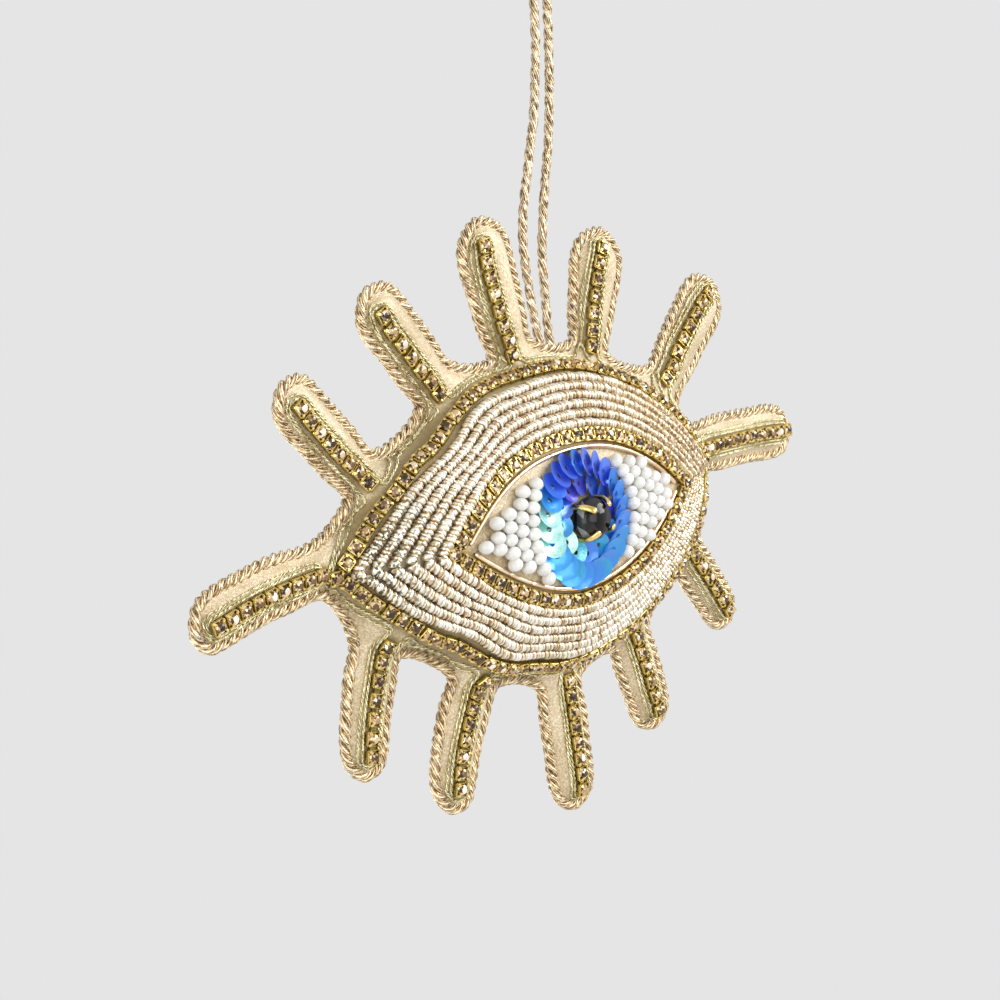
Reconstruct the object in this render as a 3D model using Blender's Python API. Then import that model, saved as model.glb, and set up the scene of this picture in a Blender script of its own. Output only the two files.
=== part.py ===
"""Padded evil eye ornament: twelve lashes, bead and sequin embroidery, and a cord loop.

The ornament is drawn flat in millimetres. u runs along the eye, v runs up it and w comes out of
its front. The plane w = 0 is the seam between the two cloth panels. The finished pieces are
turned by HANG_TILT, with the front facing -Y, under a loop whose top is the world origin.
"""
import math

import bpy
from mathutils import Matrix, Vector
from mathutils.bvhtree import BVHTree
from mathutils.geometry import delaunay_2d_cdt

MM = 0.001
GAP = 0.3                      # clearance between pieces that touch

# Hanging loop
LOOP_DROP = 80.0               # loop top down to the seam that holds its two ends
LOOP_SIDE = 1.0                # the seam's exit lies this far to +X of the loop top
HANG_TILT = math.radians(12.5)
LOOP_CORD = 1.5
EXIT_SHARE = 0.38              # exit's place along the border between lashes four and five
# Route of each strand: offset from the exit along X, and height over it
LEFT_STRAND = ((-1.1, 0.0), (-1.9, 3.0), (-3.4, 8.1), (-4.4, 12.1), (-5.1, 16.5), (-4.9, 21.3),
               (-4.1, 26.0), (-3.4, 30.2), (-2.6, 34.8), (-2.3, 39.9), (-2.1, 45.7), (-2.6, 52.9),
               (-4.0, 61.0), (-5.4, 69.0), (-4.9, 76.0))
RIGHT_STRAND = ((1.2, 0.0), (0.4, 5.6), (-0.1, 9.7), (-0.6, 13.9), (-0.5, 18.2), (-0.2, 22.6),
                (0.2, 26.5), (0.7, 30.0), (1.0, 34.5), (1.1, 40.3), (0.9, 47.6), (0.6, 53.3),
                (1.4, 61.0), (2.7, 69.0), (2.3, 76.0))

# Border cord and cloth
BORDER_CORD = 1.7
CLOTH = 0.5
PADDING_GAP = 0.45
STUFFING_MARGIN = 0.8
STUFFING_PART = 0.6            # parting between the eye's cushion and a lash's
STUFFING_EDGE = 0.3            # least thickness of a cushion, at its edge
LASH_HEIGHT = 1.7
LASH_BACK_HEIGHT = 1.5
LASH_ROUNDING = 3.0
DOME_HEIGHT = 9.9
DOME_LEFT = 44.5
DOME_RIGHT = 41.0
DOME_HALF_HEIGHT = 23.6
DOME_POWER = 0.55
DOME_BLEND = 1.2
BACK_DOME_HEIGHT = 6.0
BACK_FLAT_HEIGHT = 5.2
EYE_CENTRE = Vector((0.3, -0.8))
EYE_TURN = math.radians(-1.6)

# Each lash: root, tip, half width at root and near tip, bow, chain offset, and for some how much
# further out the left and the right side start, where the seam gives room to the rim chain.
# Bow and offset are positive to the left of someone looking from root to tip.
LASHES = (
    ((-45.5, 2.0), (-69.7, -0.8), 3.6, 3.5, -1.0, 0.4),
    ((-34.9, 13.0), (-47.2, 27.9), 3.8, 3.8, 0.0, 1.3),
    ((-17.2, 22.6), (-28.3, 37.8), 4.3, 4.2, -0.2, 1.8),
    ((0.4, 24.6), (-2.9, 44.6), 4.5, 5.0, 0.1, 2.1),
    ((18.4, 21.9), (25.4, 39.1), 3.9, 5.1, 0.2, 1.6),
    ((35.4, 12.9), (51.8, 26.6), 4.1, 4.5, 0.3, 1.6),
    ((39.0, 1.3), (67.3, -0.7), 3.9, 3.7, 0.5, 0.0, 0.0, 2.7),
    ((35.9, -14.9), (44.3, -28.0), 3.8, 3.3, 0.0, -0.3),
    ((18.6, -24.0), (22.2, -39.4), 4.6, 4.0, 0.0, -0.5),
    ((0.6, -26.4), (0.2, -46.1), 4.5, 4.2, 0.0, 0.0),
    ((-17.7, -20.9), (-26.8, -38.4), 4.7, 3.9, -1.3, -0.6, 0.0, 0.9),
    ((-36.8, -10.9), (-43.3, -28.4), 4.6, 3.7, -0.8, -0.5, 0.9, 0.0),
)

# Eye outlines: length to the left and right of the centre, height above and below the axis
ALMOND_STEPS = 120
LASH_STEPS = 40
RIM_ALMOND = (45.0, 41.0, 22.3, 22.5)
EYE_ALMOND = (27.2, 28.2, 12.1, 12.1)
# Fullness of each outline at its upper left, upper right, lower left and lower right
RIM_POWERS = (2.55, 2.25, 2.1, 2.05)
EYE_POWERS = (2.6, 2.1, 1.9, 2.1)
ROW_COUNT = 6
ROW_WIRE = 0.8
ROW_END = 1.3                  # from the eye's axis to the ends of the rows
ROW_SPANS = 12
ROW_CROSSINGS = 60
RIM_FOLD = 0.75                # extra room beside the rim chain, where the dome rises
EYE_FOLD = 0.15
TRIM_WIRE = 0.7
TRIM_SPANS = 12

# Cup chain
CHAIN_PITCH = 2.5
CUP = 2.15
CUP_HEIGHT = 0.8
STONE_TABLE = 1.1
STONE_HEIGHT = 0.7
CUP_MARGIN = 0.3               # least cloth beside a cup
LINK_WIDTH = 0.9
LINK_FLOOR = 0.15
LINK_TOP = 0.5

# Seed beads
BEAD = 2.0
BEAD_LENGTH = 1.7
BEAD_NECK = 0.5                # radius between two beads, as a share of the bead's
BEAD_COLUMN_PITCH = 2.35
CORNER_REACH = 1.45            # how much further a margin reaches along the axis at a corner

# Iris and pupil
IRIS_RADIUS = 10.45
IRIS_SHIFT = -0.8             # iris centre along the eye's axis
OUTER_SEQUIN = 4.0
OUTER_COUNT = 24
INNER_SEQUIN = 2.2
INNER_COUNT = 12
SEQUIN_THREAD = 0.5
SEQUIN_THICK = 0.2
SEQUIN_LIFT = 0.35             # the thread holds the discs off the cloth
SEQUIN_TILT = math.radians(26.0)
PUPIL = 6.6
PUPIL_TABLE = 3.8
PUPIL_DEPTH = 1.9
PUPIL_CROWN = 1.1
SETTING_BASE = 0.6
PRONG = 0.4
PRONG_REACH = 1.3


def clear_scene():
    """Start from an empty scene."""
    for obj in list(bpy.data.objects):
        bpy.data.objects.remove(obj, do_unlink=True)


def smooth_points(points, steps, closed):
    """Centripetal Catmull-Rom curve through points, with steps points in each span."""
    count = len(points)
    spans = count if closed else count - 1
    result = []
    for i in range(spans):
        p1, p2 = points[i], points[(i + 1) % count]
        p0 = points[i - 1] if closed or i > 0 else p1 * 2 - p2
        p3 = points[(i + 2) % count] if closed or i + 2 < count else p2 * 2 - p1
        t1 = max((p1 - p0).length, 1e-6) ** 0.5
        t2 = t1 + max((p2 - p1).length, 1e-6) ** 0.5
        t3 = t2 + max((p3 - p2).length, 1e-6) ** 0.5
        for step in range(steps):
            t = t1 + (t2 - t1) * step / steps
            a1 = p0 * ((t1 - t) / t1) + p1 * (t / t1)
            a2 = p1 * ((t2 - t) / (t2 - t1)) + p2 * ((t - t1) / (t2 - t1))
            a3 = p2 * ((t3 - t) / (t3 - t2)) + p3 * ((t - t2) / (t3 - t2))
            b1 = a1 * ((t2 - t) / t2) + a2 * (t / t2)
            b2 = a2 * ((t3 - t) / (t3 - t1)) + a3 * ((t - t1) / (t3 - t1))
            result.append(b1 * ((t2 - t) / (t2 - t1)) + b2 * ((t - t1) / (t2 - t1)))
    if not closed:
        result.append(points[-1].copy())
    return result


def divided(path, count):
    """Points that divide a path into count equal lengths, with its two ends."""
    lengths = [0.0]
    for a, b in zip(path, path[1:]):
        lengths.append(lengths[-1] + (b - a).length)
    result = []
    index = 0
    for step in range(count + 1):
        target = lengths[-1] * step / count
        while index < len(path) - 2 and lengths[index + 1] < target:
            index += 1
        share = (target - lengths[index]) / (lengths[index + 1] - lengths[index])
        result.append(path[index].lerp(path[index + 1], min(share, 1.0)))
    return result


def even_points(path, pitch):
    """Points spaced as near to pitch as a whole number of steps allows."""
    length = sum((b - a).length for a, b in zip(path, path[1:]))
    return divided(path, max(1, round(length / pitch)))


class LashShape:
    """One lash's axis and sides in the drawing plane."""

    def __init__(self, lash):
        root, tip, self.root_half, self.tip_half, self.bow, self.chain_offset = lash[:6]
        self.left_start, self.right_start = lash[6:] if len(lash) > 6 else (0.0, 0.0)
        self.root, self.tip = Vector(root), Vector(tip)
        self.length = (self.tip - self.root).length
        self.along = (self.tip - self.root).normalized()
        self.left = Vector((-self.along.y, self.along.x))

    def point(self, distance, offset=0.0):
        """Point at a distance from the root, offset to the left of the bowed axis."""
        share = distance / self.length
        bow = self.bow * 4 * share * (1 - share) if share > 0 else 0.0
        return self.root + self.along * distance + self.left * (bow + offset)

    def half(self, distance):
        share = min(max(distance / (self.length - self.tip_half), 0.0), 1.0)
        return self.root_half + (self.tip_half - self.root_half) * share

    def border(self):
        """Control points of the border cord, up the left side, round the tip and back."""
        straight = self.length - self.tip_half
        points = []
        for distance in (self.left_start, straight * 0.36, straight * 0.7):
            points.append(self.point(distance, self.half(distance)))
        for angle in (90, 55, 0, -55, -90):
            turn = math.radians(angle)
            reach = straight + self.tip_half * math.cos(turn)
            points.append(self.point(reach, self.tip_half * math.sin(turn)))
        for distance in (straight * 0.7, straight * 0.36, self.right_start):
            points.append(self.point(distance, -self.half(distance)))
        return points


def nearest_on(polygon, point):
    """Closest point of a closed polygon to a point."""
    best, best_distance = None, 1e9
    for a, b in zip(polygon, polygon[1:] + polygon[:1]):
        edge = b - a
        share = min(max((point - a).dot(edge) / edge.length_squared, 0.0), 1.0)
        close = a + edge * share
        distance = (point - close).length
        if distance < best_distance:
            best, best_distance = close, distance
    return best, best_distance


def inside(polygon, point):
    """Whether a closed polygon holds a point."""
    crossings = 0
    for a, b in zip(polygon, polygon[1:] + polygon[:1]):
        if (a.y > point.y) != (b.y > point.y):
            share = (point.y - a.y) / (b.y - a.y)
            crossings += point.x < a.x + (b.x - a.x) * share
    return crossings % 2 == 1


def inset(polygon, distance):
    """Clockwise closed polygon moved inwards, mitred at its corners."""
    result = []
    count = len(polygon)
    for i, point in enumerate(polygon):
        before = (point - polygon[i - 1]).normalized()
        after = (polygon[(i + 1) % count] - point).normalized()
        normal = Vector((before.y + after.y, -before.x - after.x)).normalized()
        cosine = max(normal.dot(Vector((before.y, -before.x))), 0.5)
        result.append(point + normal * distance / cosine)
    return result


def rounding(distance, reach):
    """Quarter-ellipse rise from 0 at the edge to 1 at reach."""
    share = min(max(distance / reach, 0.0), 1.0)
    return math.sqrt(1 - (1 - share) ** 2)


def eye_point(u, v):
    """Drawing point from coordinates along and across the eye's own axis."""
    turned = Vector((u, v))
    turned.rotate(Matrix.Rotation(EYE_TURN, 2))
    return EYE_CENTRE + turned


def eye_local(point):
    """Coordinates along and across the eye's own axis from a drawing point."""
    local = point - EYE_CENTRE
    local.rotate(Matrix.Rotation(-EYE_TURN, 2))
    return local


def dome_reach(side):
    """How far the dome's foot is from the eye's centre, on the left if side is negative."""
    return DOME_LEFT if side < 0 else DOME_RIGHT


def dome_radius(point):
    """Elliptical radius in the eye, 1 at the dome's foot."""
    local = eye_local(point)
    return math.hypot(local.x / dome_reach(local.x), local.y / DOME_HALF_HEIGHT)


def front_height(point, edge_distance):
    """Outer surface of the front cloth over the seam plane."""
    dome = DOME_HEIGHT * max(1 - dome_radius(point) ** 2, 0.0) ** DOME_POWER
    gap = dome - LASH_HEIGHT
    blended = (dome + LASH_HEIGHT + math.sqrt(gap * gap + DOME_BLEND ** 2)) / 2
    rim = GAP / 2 + CLOTH
    return rim + (blended - rim) * rounding(edge_distance, LASH_ROUNDING)


def back_height(point, edge_distance):
    """Depth of the back cloth behind the seam plane, flat in the middle."""
    dome = BACK_DOME_HEIGHT * max(1 - dome_radius(point) ** 2, 0.0) ** DOME_POWER
    gap = dome - LASH_BACK_HEIGHT
    blended = (dome + LASH_BACK_HEIGHT + math.sqrt(gap * gap + DOME_BLEND ** 2)) / 2
    rim = GAP / 2 + CLOTH
    full = rim + (blended - rim) * rounding(edge_distance, LASH_ROUNDING)
    return min(full, BACK_FLAT_HEIGHT)


def material(name, colour, metallic, roughness):
    made = bpy.data.materials.new(name)
    made.use_nodes = True
    shader = made.node_tree.nodes["Principled BSDF"]
    shader.inputs["Base Color"].default_value = (*colour, 1.0)
    shader.inputs["Metallic"].default_value = metallic
    shader.inputs["Roughness"].default_value = roughness
    return made


def triangulate_region(outline, inner):
    """Triangles of the area inside outline that use every point of inner."""
    points = outline + inner
    count = len(outline)
    edges = [(i, (i + 1) % count) for i in range(count)]
    result = delaunay_2d_cdt(points, edges, [], 1, 1e-5)
    faces = []
    for face in result[2]:
        a, b, c = (result[0][i] for i in face[:3])
        turn = (b - a).cross(c - a)
        faces.append(tuple(face) if turn > 0 else tuple(reversed(face)))
    return [v.copy() for v in result[0]], faces


def eased_heights(points, faces, limit):
    """Heights at the points that keep the flat faces between them under a limit."""
    heights = [limit(p) for p in points]
    steps = range(6)
    samples = [(i / 5, j / 5, (5 - i - j) / 5) for i in steps for j in steps if i + j <= 5]
    for _ in range(3):
        drops = [0.0] * len(points)
        for face in faces:
            excess = 0.0
            for shares in samples:
                place = sum((points[i] * s for i, s in zip(face, shares)), Vector((0.0, 0.0)))
                height = sum(heights[i] * s for i, s in zip(face, shares))
                excess = max(excess, height - limit(place))
            for i in face:
                drops[i] = max(drops[i], excess)
        heights = [h - d for h, d in zip(heights, drops)]
    return heights


def shell_mesh(outline, inner, top, bottom, eased=False):
    """Closed body between two height functions over one triangulated region."""
    points, faces = triangulate_region(outline, inner)
    count = len(points)
    if eased:
        tops = eased_heights(points, faces, top)
        bottoms = [-h for h in eased_heights(points, faces, lambda p: -bottom(p))]
        middles = [(a + b) / 2 for a, b in zip(tops, bottoms)]
        tops = [max(h, m + STUFFING_EDGE / 2) for h, m in zip(tops, middles)]
        bottoms = [min(h, m - STUFFING_EDGE / 2) for h, m in zip(bottoms, middles)]
    else:
        tops = [top(p) for p in points]
        bottoms = [bottom(p) for p in points]
    verts = [Vector((p.x, p.y, h)) for p, h in zip(points, tops)]
    verts += [Vector((p.x, p.y, h)) for p, h in zip(points, bottoms)]
    all_faces = list(faces)
    all_faces += [tuple(i + count for i in reversed(face)) for face in faces]
    used = {}
    for face in faces:
        for a, b in zip(face, face[1:] + face[:1]):
            used[(a, b)] = used.get((a, b), 0) + 1
    for a, b in used:
        if (b, a) not in used:
            all_faces.append((b, a, a + count, b + count))
    return verts, all_faces


def round_curve(name, diameter, resolution):
    data = bpy.data.curves.new(name, "CURVE")
    data.dimensions = "3D"
    data.bevel_depth = diameter / 2 * MM
    data.bevel_resolution = resolution
    data.use_fill_caps = True
    return data


class Ornament:
    """Turns drawing coordinates into world objects that hang from one pivot."""

    def __init__(self, exit_point):
        turn = Matrix.Rotation(-HANG_TILT, 4, "Y")
        upright = Matrix(((1, 0, 0, 0), (0, 0, -1, 0), (0, 1, 0, 0), (0, 0, 0, 1)))
        self.turn = turn @ upright
        self.pivot = Vector((LOOP_SIDE, 0, -LOOP_DROP))
        self.exit = Vector((exit_point.x, exit_point.y, 0))

    def local(self, point):
        """Drawing point in mm to metres from the pivot."""
        return (self.turn.to_3x3() @ (point - self.exit)) * MM

    def add(self, name, data, skin):
        obj = bpy.data.objects.new(name, data)
        obj.location = self.pivot * MM
        data.materials.append(skin)
        bpy.context.collection.objects.link(obj)
        return obj

    def mesh(self, name, solids, skin, smooth=0.0):
        """One object from a list of (vertices, faces) solids."""
        verts, faces = [], []
        for solid_verts, solid_faces in solids:
            base = len(verts)
            verts += [self.local(v) for v in solid_verts]
            faces += [tuple(i + base for i in face) for face in solid_faces]
        data = bpy.data.meshes.new(name)
        data.from_pydata(verts, [], faces)
        data.update()
        if smooth:
            data.shade_smooth()
            data.set_sharp_from_angle(angle=math.radians(smooth))
        return self.add(name, data, skin)

    def wire(self, name, path, diameter, skin, closed=False, radii=None):
        """Round wire or cord along a path, thinned by the share of its radius at each point."""
        data = round_curve(name, diameter, 1)
        spline = data.splines.new("POLY")
        spline.points.add(len(path) - 1)
        for i, point in enumerate(path):
            spline.points[i].co = (*self.local(point), 1)
            spline.points[i].radius = radii[i] if radii else 1.0
        spline.use_cyclic_u = closed
        spline.use_smooth = True
        return self.add(name, data, skin)


class Cloth:
    """Embroidered surface that trims are laid on."""

    def __init__(self, verts, faces):
        self.tree = BVHTree.FromPolygons(verts, faces)

    def lining(self, point, direction):
        """Height of the cloth's inner face over a point of the seam plane."""
        seam = Vector((point.x, point.y, 0))
        return self.tree.ray_cast(seam, Vector((0, 0, direction)))[0].z

    def covers(self, point):
        """Whether the cloth lies under a drawing point."""
        above = Vector((point.x, point.y, 60))
        return self.tree.ray_cast(above, Vector((0, 0, -1)))[0] is not None

    def seat(self, point):
        """Surface point and normal under a drawing point."""
        hit, normal, _, _ = self.tree.ray_cast(Vector((point.x, point.y, 60)), Vector((0, 0, -1)))
        if hit is None:
            raise ValueError(f"no cloth under {point.x:.2f}, {point.y:.2f}")
        return hit, normal if normal.z > 0 else -normal

    def lift(self, corners, normal):
        """Height the surface reaches over a set of points laid in a plane."""
        highest = 0.0
        reach = 4.0
        for corner in corners:
            hit, _, _, distance = self.tree.ray_cast(corner + normal * reach, -normal)
            if hit is not None:
                highest = max(highest, reach - distance)
        return highest

    def cleared(self, path, reaches):
        """Path raised until its straight runs keep their reach from the surface."""
        ups = [(p - self.tree.find_nearest(p)[0]).normalized() for p in path]
        for _ in range(4):
            rises = [0.0] * len(path)
            for i in range(len(path) - 1):
                for share in (0.0, 0.2, 0.4, 0.6, 0.8, 1.0):
                    spot = path[i].lerp(path[i + 1], share)
                    hit, _, _, distance = self.tree.find_nearest(spot)
                    reach = reaches[i] + (reaches[i + 1] - reaches[i]) * share
                    short = reach - math.copysign(distance, spot.z - hit.z)
                    rises[i] = max(rises[i], short)
                    rises[i + 1] = max(rises[i + 1], short)
            path = [p + up * rise for p, up, rise in zip(path, ups, rises)]
        return path

    def frame(self, point, along, half):
        """Frame on the surface, x along the given direction, clear of it over a square."""
        hit, normal = self.seat(point)
        for step in (-1, 1):
            for way in (Vector((along.x, along.y)), Vector((-along.y, along.x))):
                beside = point + way.normalized() * step * half * 0.9
                if self.covers(beside):
                    normal = normal + self.seat(beside)[1]
        normal.normalize()
        x_axis = Vector((along.x, along.y, 0))
        x_axis = (x_axis - normal * x_axis.dot(normal)).normalized()
        y_axis = normal.cross(x_axis)
        steps = (-1, -0.5, 0, 0.5, 1)
        corners = [hit + (x_axis * i + y_axis * j) * half for i in steps for j in steps]
        base = hit + normal * (GAP + self.lift(corners, normal))
        return Matrix.Translation(base) @ Matrix((x_axis, y_axis, normal)).transposed().to_4x4()


def turned(profile, sides, frame, phase=0.0):
    """Closed solid of revolution from (radius, height) pairs, bottom to top."""
    verts, faces = [], []
    for radius, height in profile:
        for k in range(sides):
            angle = 2 * math.pi * (k + phase) / sides
            flat = Vector((radius * math.cos(angle), radius * math.sin(angle), height))
            verts.append(frame @ flat)
    for ring in range(len(profile) - 1):
        for k in range(sides):
            a, b = ring * sides + k, ring * sides + (k + 1) % sides
            faces.append((a, b, b + sides, a + sides))
    faces.append(tuple(reversed(range(sides))))
    top = (len(profile) - 1) * sides
    faces.append(tuple(range(top, top + sides)))
    return verts, faces


def ring_tube(path, radius, sides):
    """Closed loop of tube along drawing points."""
    verts, faces = [], []
    count = len(path)
    for i, point in enumerate(path):
        along = (path[(i + 1) % count] - path[i - 1]).normalized()
        across = along.cross(Vector((0, 0, 1))).normalized()
        up = across.cross(along)
        for k in range(sides):
            angle = 2 * math.pi * k / sides
            verts.append(point + across * radius * math.cos(angle) + up * radius * math.sin(angle))
    for i in range(count):
        for k in range(sides):
            n = (k + 1) % sides
            here, there = i * sides, (i + 1) % count * sides
            faces.append((here + k, there + k, there + n, here + n))
    return verts, faces


def almond_side(almond, powers, upper):
    """Dense points along one side of an almond, from its left corner to its right."""
    left, right, above, below = almond
    height, fullness = (above, powers[:2]) if upper else (-below, powers[2:])
    points = []
    for i in range(ALMOND_STEPS + 1):
        share = -1 + 2 * i / ALMOND_STEPS
        length, power = (left, fullness[0]) if share < 0 else (right, fullness[1])
        points.append(eye_point(share * length, height * (1 - abs(share) ** power)))
    return points


def smoothed(path, passes):
    """Path with its small kinks averaged out and its ends kept."""
    for _ in range(passes):
        middle = [(a + b * 2 + c) / 4 for a, b, c in zip(path, path[1:], path[2:])]
        path = [path[0]] + middle + [path[-1]]
    return path


def beside(path, distance, upper):
    """Path moved towards the eye's axis by a distance, or away from it if negative."""
    result = []
    for i, point in enumerate(path):
        along = (path[min(i + 1, len(path) - 1)] - path[max(i - 1, 0)]).normalized()
        inwards = Vector((along.y, -along.x)) * (1 if upper else -1)
        result.append(point + inwards * distance)
    return result


def mitred(path, margin, upper):
    """Path cut or run on straight so that both ends stop a margin from the eye's axis."""
    heights = [eye_local(p).y * (1 if upper else -1) for p in path]
    kept = [i for i, height in enumerate(heights) if height > margin]
    start, end = kept[0], kept[-1]
    tips = []
    for at, beyond in ((start, start + 1), (end, end - 1)):
        share = (heights[at] - margin) / (heights[beyond] - heights[at])
        tips.append(path[at] + (path[at] - path[beyond]) * share)
    return [tips[0]] + path[start:end + 1] + [tips[1]]


def chain_frames(cloth, sites, closed):
    """Frame of each cup, x pointing on along the chain."""
    frames = []
    count = len(sites)
    for i, site in enumerate(sites):
        if closed:
            ahead = sites[(i + 1) % count] - sites[i - 1]
        else:
            ahead = sites[min(i + 1, count - 1)] - sites[max(i - 1, 0)]
        frames.append(cloth.frame(site.to_2d(), ahead.to_2d(), CUP / 2))
    return frames


def cup_chain(frames, closed):
    """Cups, their set stones and the links between them as one body."""
    half, table = CUP / 2, STONE_TABLE / 2
    crown = CUP_HEIGHT + STONE_HEIGHT
    verts, faces = [], []
    cups = []
    for frame in frames:
        base = len(verts)
        for x in (-half, half):
            for y, z in ((-half, 0), (half, 0), (half, CUP_HEIGHT), (-half, CUP_HEIGHT)):
                verts.append(frame @ Vector((x, y, z)))
        for x, y in ((-table, -table), (table, -table), (table, table), (-table, table)):
            verts.append(frame @ Vector((x, y, crown)))
        cups.append(base)
        for corners in ((0, 1, 5, 4), (0, 4, 7, 3), (1, 2, 6, 5), (3, 7, 9, 8), (7, 6, 10, 9),
                        (6, 2, 11, 10), (2, 3, 8, 11), (8, 9, 10, 11)):
            faces.append(tuple(base + corner for corner in corners))
    count = len(frames)
    for i in range(count if closed else count - 1):
        here, there = cups[i], cups[(i + 1) % count]
        middle = (frames[i].translation + frames[(i + 1) % count].translation) / 2
        up = (frames[i].col[2].xyz + frames[(i + 1) % count].col[2].xyz).normalized()
        across = frames[i].col[1].xyz + frames[(i + 1) % count].col[1].xyz
        across = (across - up * across.dot(up)).normalized() * LINK_WIDTH / 2
        base = len(verts)
        for side, height in ((-1, LINK_FLOOR), (1, LINK_FLOOR), (1, LINK_TOP), (-1, LINK_TOP)):
            verts.append(middle + across * side + up * height)
        for first, second in ((here + 4, base), (base, there)):
            for k in range(4):
                n = (k + 1) % 4
                faces.append((first + k, first + n, second + n, second + k))
    if not closed:
        start, end = cups[0], cups[-1] + 4
        faces.append((start, start + 3, start + 2, start + 1))
        faces.append((end, end + 1, end + 2, end + 3))
    return verts, faces


def laid_wire(cloth, path, diameter, spans):
    """Centre line of a wire that rests along a path on the cloth."""
    points = divided([cloth.seat(p)[0] for p in path], spans)
    reach = GAP + diameter / 2
    laid = [p + cloth.seat(p.to_2d())[1] * reach for p in points]
    return cloth.cleared(laid, [reach] * len(laid))


def main():
    clear_scene()
    lashes = [LashShape(lash) for lash in LASHES]
    controls = [point for lash in lashes for point in lash.border()]
    per_lash = len(controls) // len(lashes)
    border = []
    for i, point in enumerate(controls):
        border.append(point)
        after = controls[(i + 1) % len(controls)]
        place = i % per_lash
        if place in (4, 5, 10):
            four = [controls[i - 1], point, after, controls[(i + 2) % len(controls)]]
            border.append(smooth_points(four, 2, False)[3])

    root_end = lashes[3].border()[-1]
    root_start = lashes[4].border()[0]
    exit_point = nearest_on(border, root_end.lerp(root_start, EXIT_SHARE))[0]
    ornament = Ornament(exit_point)

    cloth_gold = material("cloth_gold", (0.70, 0.58, 0.36), 0.6, 0.45)
    back_cloth = material("back_cloth", (0.68, 0.58, 0.40), 0.2, 0.6)
    filling = material("filling", (0.9, 0.88, 0.84), 0.0, 0.95)
    cord_gold = material("cord_gold", (0.62, 0.45, 0.24), 0.8, 0.35)
    coil_silver = material("coil_silver", (0.82, 0.76, 0.62), 0.9, 0.25)
    brass = material("brass", (0.60, 0.42, 0.12), 1.0, 0.25)
    rose_wire = material("rose_wire", (0.75, 0.55, 0.38), 1.0, 0.25)
    white_glass = material("white_glass", (0.85, 0.88, 0.88), 0.0, 0.2)
    blue_film = material("blue_film", (0.05, 0.18, 0.80), 0.4, 0.25)
    black_glass = material("black_glass", (0.012, 0.012, 0.014), 0.0, 0.06)

    border_path = [Vector((p.x, p.y, 0)) for p in border]
    ornament.wire("border_cord", border_path, BORDER_CORD, cord_gold, closed=True)

    # Cloth panels, cut just inside the border cord
    cut = inset(border, BORDER_CORD / 2 + GAP)
    lash_inner = []
    for lash in lashes:
        straight = lash.length - lash.tip_half
        for share in (0.02, 0.34, 0.66, 0.98):
            distance = straight * share
            side = lash.half(distance) - BORDER_CORD / 2 - GAP - 1.1
            lash_inner += [lash.point(distance, k * side) for k in (-1, 0, 1)]
    body_inner, back_inner = [eye_point(0, 0)], [eye_point(0, 0)]
    for radius, count in ((0.93, 30), (0.81, 24), (0.64, 19), (0.43, 13), (0.2, 7)):
        for k in range(count):
            angle = 2 * math.pi * (k + 0.5) / count
            reach = radius * dome_reach(math.cos(angle))
            body_inner.append(eye_point(reach * math.cos(angle),
                                        radius * DOME_HALF_HEIGHT * math.sin(angle)))
    for radius, count in ((0.9, 26), (0.72, 20), (0.5, 14)):
        for k in range(count):
            angle = 2 * math.pi * (k + 0.5) / count
            reach = radius * dome_reach(math.cos(angle))
            back_inner.append(eye_point(reach * math.cos(angle),
                                        radius * DOME_HALF_HEIGHT * math.sin(angle)))

    def keep_inside(points, margin):
        """Points far enough from the cut edge and from each other."""
        kept = []
        for point in points:
            crowded = any((point - other).length < 1.2 for other in kept)
            if edge_distance(point) > margin and not crowded:
                kept.append(point)
        return kept

    def edge_distance(point):
        distance = nearest_on(cut, point)[1]
        return distance if inside(cut, point) else -distance

    front_points = keep_inside(body_inner + lash_inner, 0.9)
    back_points = keep_inside(back_inner + lash_inner, 0.9)
    front_verts, front_faces = shell_mesh(
        cut, front_points,
        lambda p: front_height(p, edge_distance(p)),
        lambda p: front_height(p, edge_distance(p)) - CLOTH)
    ornament.mesh("front_panel", [(front_verts, front_faces)], cloth_gold, 60)
    back_verts, back_faces = shell_mesh(
        cut, back_points,
        lambda p: CLOTH - back_height(p, edge_distance(p)),
        lambda p: -back_height(p, edge_distance(p)))
    ornament.mesh("back_panel", [(back_verts, back_faces)], back_cloth, 60)
    cloth = Cloth(front_verts, front_faces)
    back = Cloth(back_verts, back_faces)

    # Stuffing: one cushion in the eye and one in each lash, parted at the lash roots
    stuffed = inset(border, BORDER_CORD / 2 + GAP + STUFFING_MARGIN)
    per_side = len(stuffed) // len(lashes)
    outline = []
    for start in range(0, len(stuffed), per_side):
        outline += [stuffed[start]] + stuffed[start + per_side - 2:start + per_side]

    def padding_top(point):
        return cloth.lining(point, 1) - PADDING_GAP

    def padding_bottom(point):
        return back.lining(point, -1) + PADDING_GAP

    sparse = [p for p in back_inner if inside(outline, p) and nearest_on(outline, p)[1] > 2.0]
    cushion = shell_mesh(outline, sparse, padding_top, padding_bottom, True)
    ornament.mesh("body_padding", [cushion], filling, 60)

    for number, lash in enumerate(lashes, 1):
        straight = lash.length - lash.tip_half
        side = BORDER_CORD / 2 + GAP + STUFFING_MARGIN
        start = max(lash.left_start, lash.right_start) + STUFFING_PART
        stations = (start, straight * 0.35, straight * 0.7, straight)
        outline = [lash.point(d, lash.half(d) - side) for d in stations]
        outline.append(lash.point(lash.length - side))
        outline += [lash.point(d, side - lash.half(d)) for d in reversed(stations)]
        ridge = [lash.point(straight * share) for share in (0.25, 0.5, 0.85)]
        solid = shell_mesh(outline, ridge, padding_top, padding_bottom, True)
        ornament.mesh(f"lash_padding_{number:02d}", [solid], filling, 60)

    # Cup chains round the rim and the inner eye
    cup_reach = CUP / 2 + CUP_MARGIN

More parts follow.
